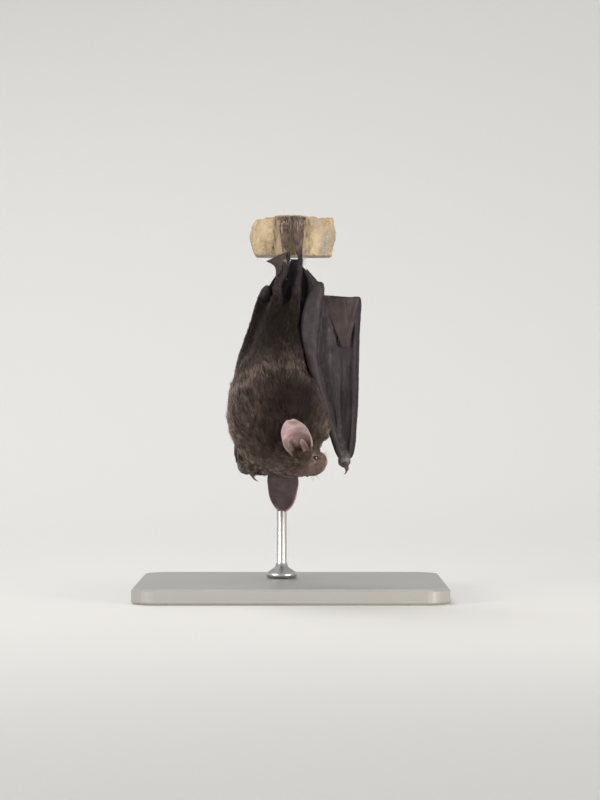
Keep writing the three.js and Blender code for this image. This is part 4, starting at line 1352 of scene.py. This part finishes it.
def tuft_corners(roots, out, lie, length, radius, lift, bent, locks):
    """Corners of a tapered tuft at each root, whether it is clear of the ears, and its lock's number."""
    count = len(roots)
    jitter = dice.normal(0, 0.2, (count, 3))
    lie = unit(lie + jitter - out * (jitter * out).sum(1, keepdims=True))
    length = length * dice.uniform(0.72, 1.12, count)
    steep, flat = (np.radians(angle + dice.normal(0, 7, count))[:, None] for angle in lift)
    start = roots - out * ROOT_DEEP
    first = (lie * np.cos(steep) + out * np.sin(steep)) * (0.48 * length)[:, None]
    second = (lie * np.cos(flat) + out * np.sin(flat)) * (0.52 * length)[:, None]
    tips = start + first + second
    leaders = dice.choice(count, locks, replace=False)
    leader, far = nearest(tree_of(roots[leaders]), roots)
    pull = LOCK * dice.uniform(0.5, 1.4, count) * smooth_step(-far, -LOCK_SIZE * 1.5, -0.1)
    pull = pull[:, None]
    tips = tips + pull * (tips[leaders][leader] - tips)
    _, from_ear = nearest(ear_tree, (start + first + tips) / 2)
    side = unit(np.cross(lie, out))
    thick = (radius * dice.uniform(0.75, 1.25, count))[:, None]
    ring = [side * math.cos(a) + out * math.sin(a) for a in np.radians([90, 210, 330])]
    corners = [start + r * thick for r in ring]
    if bent:
        middle = start + first + 0.3 * pull * (tips - start - first)
        corners += [middle + r * (0.8 * thick) for r in ring]
    return np.stack([*corners, tips], 1), from_ear > EAR_CLEAR, leader


print("locks of", TUFTS_IN_LOCK, "tufts,", EAR_CLEAR, "mm kept clear round the ears")

# %% [markdown]
# ## One piece of the coat
# A piece of the coat is all its tufts in one mesh. Each point carries how far along the hair it lies and
# how dark its hair is, for the finish to read. The map OFBake gives every tuft a tiny patch of its own at
# the place where it grows, so that the colours can be baked for the library without one tuft smearing
# into another.

# %% Grow a piece of the coat
PATCH = 0.003
BENT = np.array([
    [0, 1, 4, 3], [1, 2, 5, 4], [2, 0, 3, 5], [0, 2, 1, 1], [3, 4, 6, 6], [4, 5, 6, 6], [5, 3, 6, 6],
])
STRAIGHT = np.array([[0, 2, 1, 1], [0, 1, 3, 3], [1, 2, 3, 3], [2, 0, 3, 3]])


def map_of(shape, aside, heights, unwrap):
    """OFBake places for every face corner: a small patch for each tuft at its own spot."""
    spots = np.column_stack([aside, heights]) * PATCH
    four = shape[:, 2] != shape[:, 3]
    kinds = [shape[four].ravel(), shape[~four][:, :3].ravel()]
    corner_of = np.concatenate([np.tile(kind, len(unwrap)) for kind in kinds])
    tuft_of = np.concatenate([np.repeat(np.arange(len(unwrap)), len(kind)) for kind in kinds])
    return unwrap[tuft_of] + spots[corner_of]


def grow(name, roots, out, lie, length, unwrap, radius, lift, bent):
    """One piece of the coat: a tapered tuft at each root, bent over halfway or straight."""
    locks = max(len(roots) // TUFTS_IN_LOCK, LEAST_LOCKS)
    corners, keep, leader = tuft_corners(roots, out, lie, length, radius, lift, bent, locks)
    corners = corners[keep]
    shape = BENT if bent else STRAIGHT
    faces = (shape[None] + np.arange(len(corners))[:, None, None] * corners.shape[1]).reshape(-1, 4)
    four = faces[:, 2] != faces[:, 3]
    faces = np.concatenate([faces[four], faces[~four]])
    made = piece(name, corners.reshape(-1, 3), faces, bat_fur, "fur")

    aside = [0, 0.33, 0.67, 0, 0.33, 0.67, 0.33] if bent else [0, 0.33, 0.67, 0.33]
    heights = [0, 0, 0, 0.5, 0.5, 0.5, 1.0] if bent else [0.2, 0.2, 0.2, 0.7]
    lock_shade = dice.beta(1.0, 1.2, locks)[leader]
    shade = np.clip(0.42 * lock_shade + 0.58 * dice.random(len(roots)), 0, 1)
    numbers = {"along": np.tile(heights, len(corners)), "tint": np.repeat(shade[keep], len(heights))}
    for key, value in numbers.items():
        made.data.attributes.new(key, "FLOAT", "POINT").data.foreach_set("value", value.astype(np.float32))
    layer = made.data.uv_layers.new(name="OFBake")
    patches = map_of(shape, aside, heights, unwrap[keep])
    layer.data.foreach_set("uv", patches.astype(np.float32).ravel())
    return len(faces) + int(four.sum())


print("a long tuft has", BENT.max() + 1, "points, a short one", STRAIGHT.max() + 1)

# %% [markdown]
# ## Spread the coat over the body
# The coat is grown solid by solid, so that each piece stays light enough to handle, and a heavy one is
# cut into sectors round the body. Its length and density follow the animal: long on the back, shorter on
# the head, a close velvet on the muzzle, with the nose, the lids and the ears left bare.

# %% Where and how long it grows
COAT_LENGTH = {"neck": 3.3, "chest": 3.5, "abdomen": 3.3, "rump": 2.9}
COAT_LENGTH |= {"head": 2.1, "muzzle": 0.75, "lower_jaw": 0.75}
COAT_LENGTH |= {name: 1.6 for name in COAT_DEPTH if name.startswith(("thigh", "upper_arm"))}
FACE_GROUPS = ("head", "muzzle", "lower_jaw")


def coat_part(group):
    """Where a part of the coat may grow, from 0 to 1 at each point of the skin."""
    weight = relax((zone == group).astype(float), pairs, 40)
    weight = weight * (1 - SHARES["ear_front"]) * (1 - SHARES["ear_back"])
    weight = np.where(weight < 0.06, 0, weight)
    if group == "muzzle":
        weight = weight * smooth_step(-places[:, 0], -9.3, -8.6)
    for way in (1, -1):
        eye_gap = np.linalg.norm(places - [EYES_AHEAD, way * EYE_OUT, EYES_UP], axis=1)
        weight = weight * smooth_step(eye_gap, 0.75, 1.0)
    return weight


def length_of(group):
    """How long the hair of a part is at each point: shorter where the coat is thin."""
    thin = np.sqrt(np.maximum(depth_here, 0) / COAT_DEPTH[group])
    return COAT_LENGTH[group] * np.clip(thin, 0.45, 1.05)


print({group: round(float(length_of(group)[zone == group].mean()), 1) for group in COAT_DEPTH})

# %% Unroll and grow each part
LONG_PER_MM2 = {"head": 62, "muzzle": 95, "lower_jaw": 80}
SHORT_PER_MM2 = {"head": 50, "muzzle": 0, "lower_jaw": 0}
USUAL_LONG = 44
USUAL_SHORT = 36
RADII = {"muzzle": 0.036, "lower_jaw": 0.036, "head": 0.052}
USUAL_RADIUS = 0.068
MOST_IN_PIECE = 190000


def unrolled(turn, rise):
    """Places on a unit square, from a turn about an axis and a rise along it."""
    return np.stack([(v - v.min()) / np.ptp(v) * 0.97 + 0.01 for v in (turn, rise)], -1)


def spread_coat(group, bent, per_mm2):
    """The long or the short tufts of one part of the coat, in one or more pieces."""
    weight, length_here = coat_part(group), length_of(group)
    _, _, area = random_spots(points, faces, 1, weight)
    count = int(area * per_mm2)
    if not count:
        return 0
    which, shares, _ = random_spots(points, faces, count, weight)
    corner = faces[which]
    roots, out, lie = ((values[corner] * shares[..., None]).sum(1) for values in (points, normals, flow))
    out, lie = unit(out), unit(lie)
    length = (length_here[corner] * shares).sum(1) * (1 if bent else 0.5)
    on_face = group in FACE_GROUPS
    seen = in_head(roots) if on_face else roots - [*roots.mean(0)[:2], 0]
    turn = np.arctan2(seen[:, 1], seen[:, 2]) if on_face else np.arctan2(seen[:, 0], seen[:, 1])
    rise = seen[:, 0] if on_face else seen[:, 2]
    pieces = math.ceil(count * (10 if bent else 4) / MOST_IN_PIECE)
    sector = np.argsort(np.argsort(turn)) * pieces // count
    radius = RADII.get(group, USUAL_RADIUS) * (1 if bent else 0.95)
    lift = (34, 13) if on_face else (42, 15)
    grown = 0
    for n in range(pieces):
        own = sector == n
        name = f"{'coat' if bent else 'undercoat'}_{group}" + (f"_{n + 1}" if pieces > 1 else "")
        tufts = [values[own] for values in (roots, out, lie, length)]
        grown += grow(name, *tufts, unrolled(turn[own], rise[own]), radius, lift, bent)
    return grown


coat_triangles = 0
for group in COAT_DEPTH:
    coat_triangles += spread_coat(group, True, LONG_PER_MM2.get(group, USUAL_LONG))
    coat_triangles += spread_coat(group, False, SHORT_PER_MM2.get(group, USUAL_SHORT))
print("coat triangles", coat_triangles)

# %% [markdown]
# ## Eyes
# The eyes are small black beads, set deep enough that only a cap shows between the lids. Wet and glossy,
# they need no pattern beyond a hint of brown, only a clear coat. A ready-made sphere would do as well as
# this loft, whose rings run from the back of the eye to the front.

# %% Two wet beads
of_eye = Finish("wet_eye", Roughness=0.12, Coat_Weight=1.0, Coat_Roughness=0.03, Specular_IOR_Level=0.6)
iris = of_eye.mix(of_eye.noise(2500, 2), (0.006, 0.004, 0.0035), (0.014, 0.009, 0.007))
wet_eye = of_eye.done(Base_Color=iris)
for side, way in (("left", 1), ("right", -1)):
    centre = on_head([EYES_AHEAD, way * EYE_OUT, EYES_UP])
    rows = []
    for a in np.linspace(math.pi, 0, 13):
        round_it = EYE_RADIUS * math.sin(a)
        rows.append([*(centre + to_front * EYE_RADIUS * math.cos(a)), round_it, round_it])
    bead = loft(rows, rings=25, sides=24, side=tuple(to_left))
    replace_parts(piece(f"eyeball_{side}", *bead, wet_eye, "eye"), f"eye_{side}")
    print("eye", side, "at", np.round(centre, 1), "radius", EYE_RADIUS, "mm")

# %% [markdown]
# ## Horn
# The claws are brown horn, a little translucent and darker in streaks along their length. A low clear
# coat over a streaky brown gives that glow without the cost of light that travels through them.

# %% Claws
of_horn = Finish("claw_horn", Roughness=0.3, Coat_Weight=0.3, Coat_Roughness=0.15)
streaks = of_horn.noise(1200, 3, 0.5, (1, 1, 0.3))
claw_horn = of_horn.done(Base_Color=of_horn.mix(streaks, (0.035, 0.023, 0.017), (0.12, 0.085, 0.064)))
for side in ("left", "right"):
    claws = piece(f"claws_{side}", *joined(claw_parts[side]), claw_horn, "claw")
    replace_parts(claws, f"thumb_claw_{side}")
    print("claws", side, len(claws.data.polygons), "faces")

# %% [markdown]
# ## Whiskers and long hairs
# A few stiff whiskers stand out from the glands of the muzzle, and sparse pale hairs fringe the ankle and
# the toes, with which the bat feels what it hangs from. Each is a very thin curved cone, made as the
# claws are, with its root just under the skin.


# %% One bundle of hairs
def hairs_from(roots, ways, lengths, radius):
    """Thin curved cones, each from its root along its way, with a bend of chance."""
    made = []
    for root, way, long in zip(roots, unit(np.asarray(ways, float)), lengths):
        bend = dice.normal(0, 0.16, 3) * long
        made.append(hook(root - way * 0.15, way * long, way * long + bend, radius))
    return joined(made)


of_hair = Finish("pale_hair", Roughness=0.4)
pale = of_hair.mix(of_hair.noise(900, 2), (0.16, 0.12, 0.1), (0.5, 0.43, 0.37))
pale_hair = of_hair.done(Base_Color=pale)
skin_tree = tree_of(points)
print("hair finish", pale_hair.name, "has", len(of_hair.tree.nodes), "nodes")

# %% Whiskers
WHISKERS = 13
WHISKER_RADIUS = 0.028

roots, ways = [], []
for way in (1, -1):
    for n in range(WHISKERS):
        i = skin_tree.find(on_head([dice.uniform(6.6, 8.9), way * 4.0, dice.uniform(-1.8, 0.4)]))[1]
        roots.append(points[i])
        ways.append(normals[i] + 0.7 * to_front + dice.normal(0, 0.2, 3))
lengths = dice.uniform(1.3, 2.6, len(roots))
piece("whiskers", *hairs_from(roots, ways, lengths, WHISKER_RADIUS), pale_hair, "fur")
print(len(roots), "whiskers, up to", round(lengths.max(), 1), "mm long")

# %% Fringe of the ankles and toes
ANKLE_HAIRS = 34
TOE_HAIRS = 5
FRINGE_RADIUS = 0.03
LONGEST = 3.0

roots, ways = [], []
for side, lean in (("left", 0.75), ("right", -0.4)):
    for n in range(ANKLE_HAIRS):
        i = skin_tree.find(ankles[side] + [lean * 1.2, -1.0, dice.uniform(-2.5, 1.5)])[1]
        roots.append(points[i])
        ways.append([lean * dice.uniform(0.3, 1.3), dice.uniform(-0.5, 0.1), dice.uniform(0.4, 1.0)])
    for toe, _ in feet[side][1:]:
        for n in range(TOE_HAIRS):
            i = skin_tree.find(toe[dice.integers(len(toe) // 3, len(toe) - 60)] + [0, -0.4, 0])[1]
            roots.append(points[i])
            ways.append([dice.normal(0, 0.4), -0.5, 0.8])
lengths = np.tile([2.6, 1.9, 3.1, 1.4], len(roots))[: len(roots)] * dice.uniform(0.6, 1.0, len(roots))
lengths = np.minimum(lengths, LONGEST)
piece("ankle_hairs", *hairs_from(roots, ways, lengths, FRINGE_RADIUS), pale_hair, "fur")
print(len(roots), "long hairs, up to", round(lengths.max(), 1), "mm long")

# %% [markdown]
# ## The piece of rock
# The rock is a broken, layered stone, sandy gold with grey-brown patches. The solid gives its size and the
# seats of the toes. A fine remesh of it is pushed in and out by ridged noise drawn out along the layers,
# so that its edges chip and its faces flake. Bump alone would leave a straight outline. Where the toes
# hold it and on its flat underside it stays nearly as it is.

# %% Rock shape
ROCK_VOXEL = 0.22
SMOOTH_BY_FEET = 0.75

rock_points, rock_faces = blend_into_one([solid_arrays("perch_rock")], ROCK_VOXEL)
rock_points = relax(rock_points, pairs_of(rock_faces, len(rock_points)), 4)
flakes = 1 - 2 * np.abs(drift(rock_points * [1, 1, 0.35], 2.6, 21))
chips = 1 - 2 * np.abs(drift(rock_points * [1, 1, 0.5], 0.9, 22))
grain = drift(rock_points, 0.45, 23)
rough_by = 0.55 * flakes + 0.25 * chips + 0.08 * grain - 0.4
foot_low, foot_high = span("foot_left", "foot_right")
across = rock_points[:, 0]
near_feet = smooth_step(across, foot_low[0] - 2, foot_low[0])
near_feet = near_feet * smooth_step(-across, -foot_high[0] - 2, -foot_high[0])
in_front = rock_points[:, 1] < foot_high[1] + 1
rough_by = np.where(in_front, rough_by * (1 - SMOOTH_BY_FEET * near_feet), rough_by)
rock_low, _ = span("perch_rock")
rough_by = rough_by * smooth_step(rock_points[:, 2], rock_low[2] + 0.05, rock_low[2] + 0.8)
rock_points = push(rock_points, normals_of(rock_points, rock_faces), rough_by)
print("rock", len(rock_faces), "triangles, pushed by", np.round([rough_by.min(), rough_by.max()], 2), "mm")

# %% [markdown]
# ## The rock's finish
# Layers, patches, specks and pits all come from noise in the same coordinates as the flakes, so they run
# the same way. The grey patches are kept away from the feet, where they would hide the toes.

# %% Rock finish
of_rock = Finish("broken_rock")
layers = of_rock.step(of_rock.noise(210, 5, 0.65, (1, 1, 0.3)), 0.33, 0.67)
sand = of_rock.mix(layers, (0.24, 0.175, 0.105), (0.56, 0.44, 0.28))
grey = of_rock.step(of_rock.noise(90, 3), 0.5, 0.62)
grey = less(of_rock, grey, near_to(of_rock, np.mean([foot_low, foot_high], axis=0), 9.0, 6.0))
sand = of_rock.mix(grey, sand, (0.27, 0.24, 0.2))
specks = of_rock.step(of_rock.noise(2600, 2), 0.58, 0.72, 0.0, 0.55)
sand = of_rock.mix(specks, sand, (0.62, 0.54, 0.4))
pits = of_rock.step(of_rock.cells(900, "F1", (1, 1, 0.5)), 0.1, 0.5)
rock_relief = of_rock.bump(of_rock.math("ADD", of_rock.noise(1300, 5, 0.7), pits), 0.00025)
broken_rock = of_rock.done(Base_Color=sand, Roughness=0.85, Normal=rock_relief)
rock = piece("rock", rock_points, rock_faces, broken_rock, "rock")
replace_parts(rock, "perch_rock")
print("rock finish", broken_rock.name, "has", len(of_rock.tree.nodes), "nodes")

# %% [markdown]
# ## The plate of the stand
# The base is a flat plate in satin warm-grey paint. The solid already has its true shape, so it stays and
# only gets its finish: a tone that hardly varies, and the faint orange peel of sprayed paint.

# %% Painted plate
of_paint = Finish("satin_paint")
peel = of_paint.noise(1400, 2)
paint_tone = of_paint.mix(of_paint.noise(40, 3), (0.3, 0.29, 0.275), (0.34, 0.33, 0.315))
paint_relief = of_paint.bump(peel, 0.00002)
satin_paint = of_paint.done(Base_Color=paint_tone, Roughness=0.42, Normal=paint_relief)
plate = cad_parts["stand_base"]
plate.data.materials.clear()
plate.data.materials.append(satin_paint)
print("plate", plate.name, "is now in", plate.data.materials[0].name)

# %% [markdown]
# ## The rod of the stand
# The rod is fine-brushed steel, turned on a lathe. The solid's facets would show in so bright a metal, so
# the rod is turned again with more sides: the radii are measured on the solid, one at each height where
# it changes. Scratches drawn out round the rod make its gloss streaky.


# %% Brushed rod
def turned(rows, sides):
    """A closed round body with a ring at each row and nothing rounded between them."""
    rows = np.asarray(rows, float)
    turn = np.linspace(0, 2 * math.pi, sides, endpoint=False)
    ring = np.stack([np.cos(turn), np.sin(turn), 0 * turn], -1)
    rings = (rows[:, None, :3] + ring * rows[:, 3, None, None]).reshape(-1, 3)
    points = np.concatenate([rings, rows[[0, -1], :3]])
    j = np.arange(sides)
    k = (j + 1) % sides
    start = np.arange(len(rows) - 1)[:, None] * sides
    walls = np.stack([start + j, start + k, start + k + sides, start + j + sides], -1).reshape(-1, 4)
    low, top, last = len(points) - 2, len(points) - 1, (len(rows) - 1) * sides
    low_end = np.stack([np.full(sides, low), k, j, j], -1)
    top_end = np.stack([np.full(sides, top), last + j, last + k, last + k], -1)
    return points, np.concatenate([walls, low_end, top_end])


ROD_SIDES = 72

of_steel = Finish("brushed_steel", Metallic=1.0)
brushing = of_steel.noise(900, 4, 0.7, (1, 1, 14))
steel_tone = of_steel.mix(brushing, (0.5, 0.5, 0.49), (0.62, 0.62, 0.61))
steel_rough = of_steel.step(brushing, 0.3, 0.7, 0.28, 0.42)
steel_relief = of_steel.bump(brushing, 0.00001)
brushed_steel = of_steel.done(Base_Color=steel_tone, Roughness=steel_rough, Normal=steel_relief)

rod_points, _ = solid_arrays("stand_rod")
rod_axis = np.mean(span("stand_rod"), axis=0)[:2]
rod_radii = np.linalg.norm(rod_points[:, :2] - rod_axis, axis=1)
rod_rows = []
for height in np.unique(rod_points[:, 2].round(3)):
    ring = rod_radii[np.abs(rod_points[:, 2] - height) < 0.01].max()
    rod_rows.append([*rod_axis, height, ring])
rod = piece("rod", *turned(rod_rows, ROD_SIDES), brushed_steel, "stand_steel")
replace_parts(rod, "stand_rod")
print("rod", len(rod_rows), "rings, radii", [round(float(row[3]), 2) for row in rod_rows])
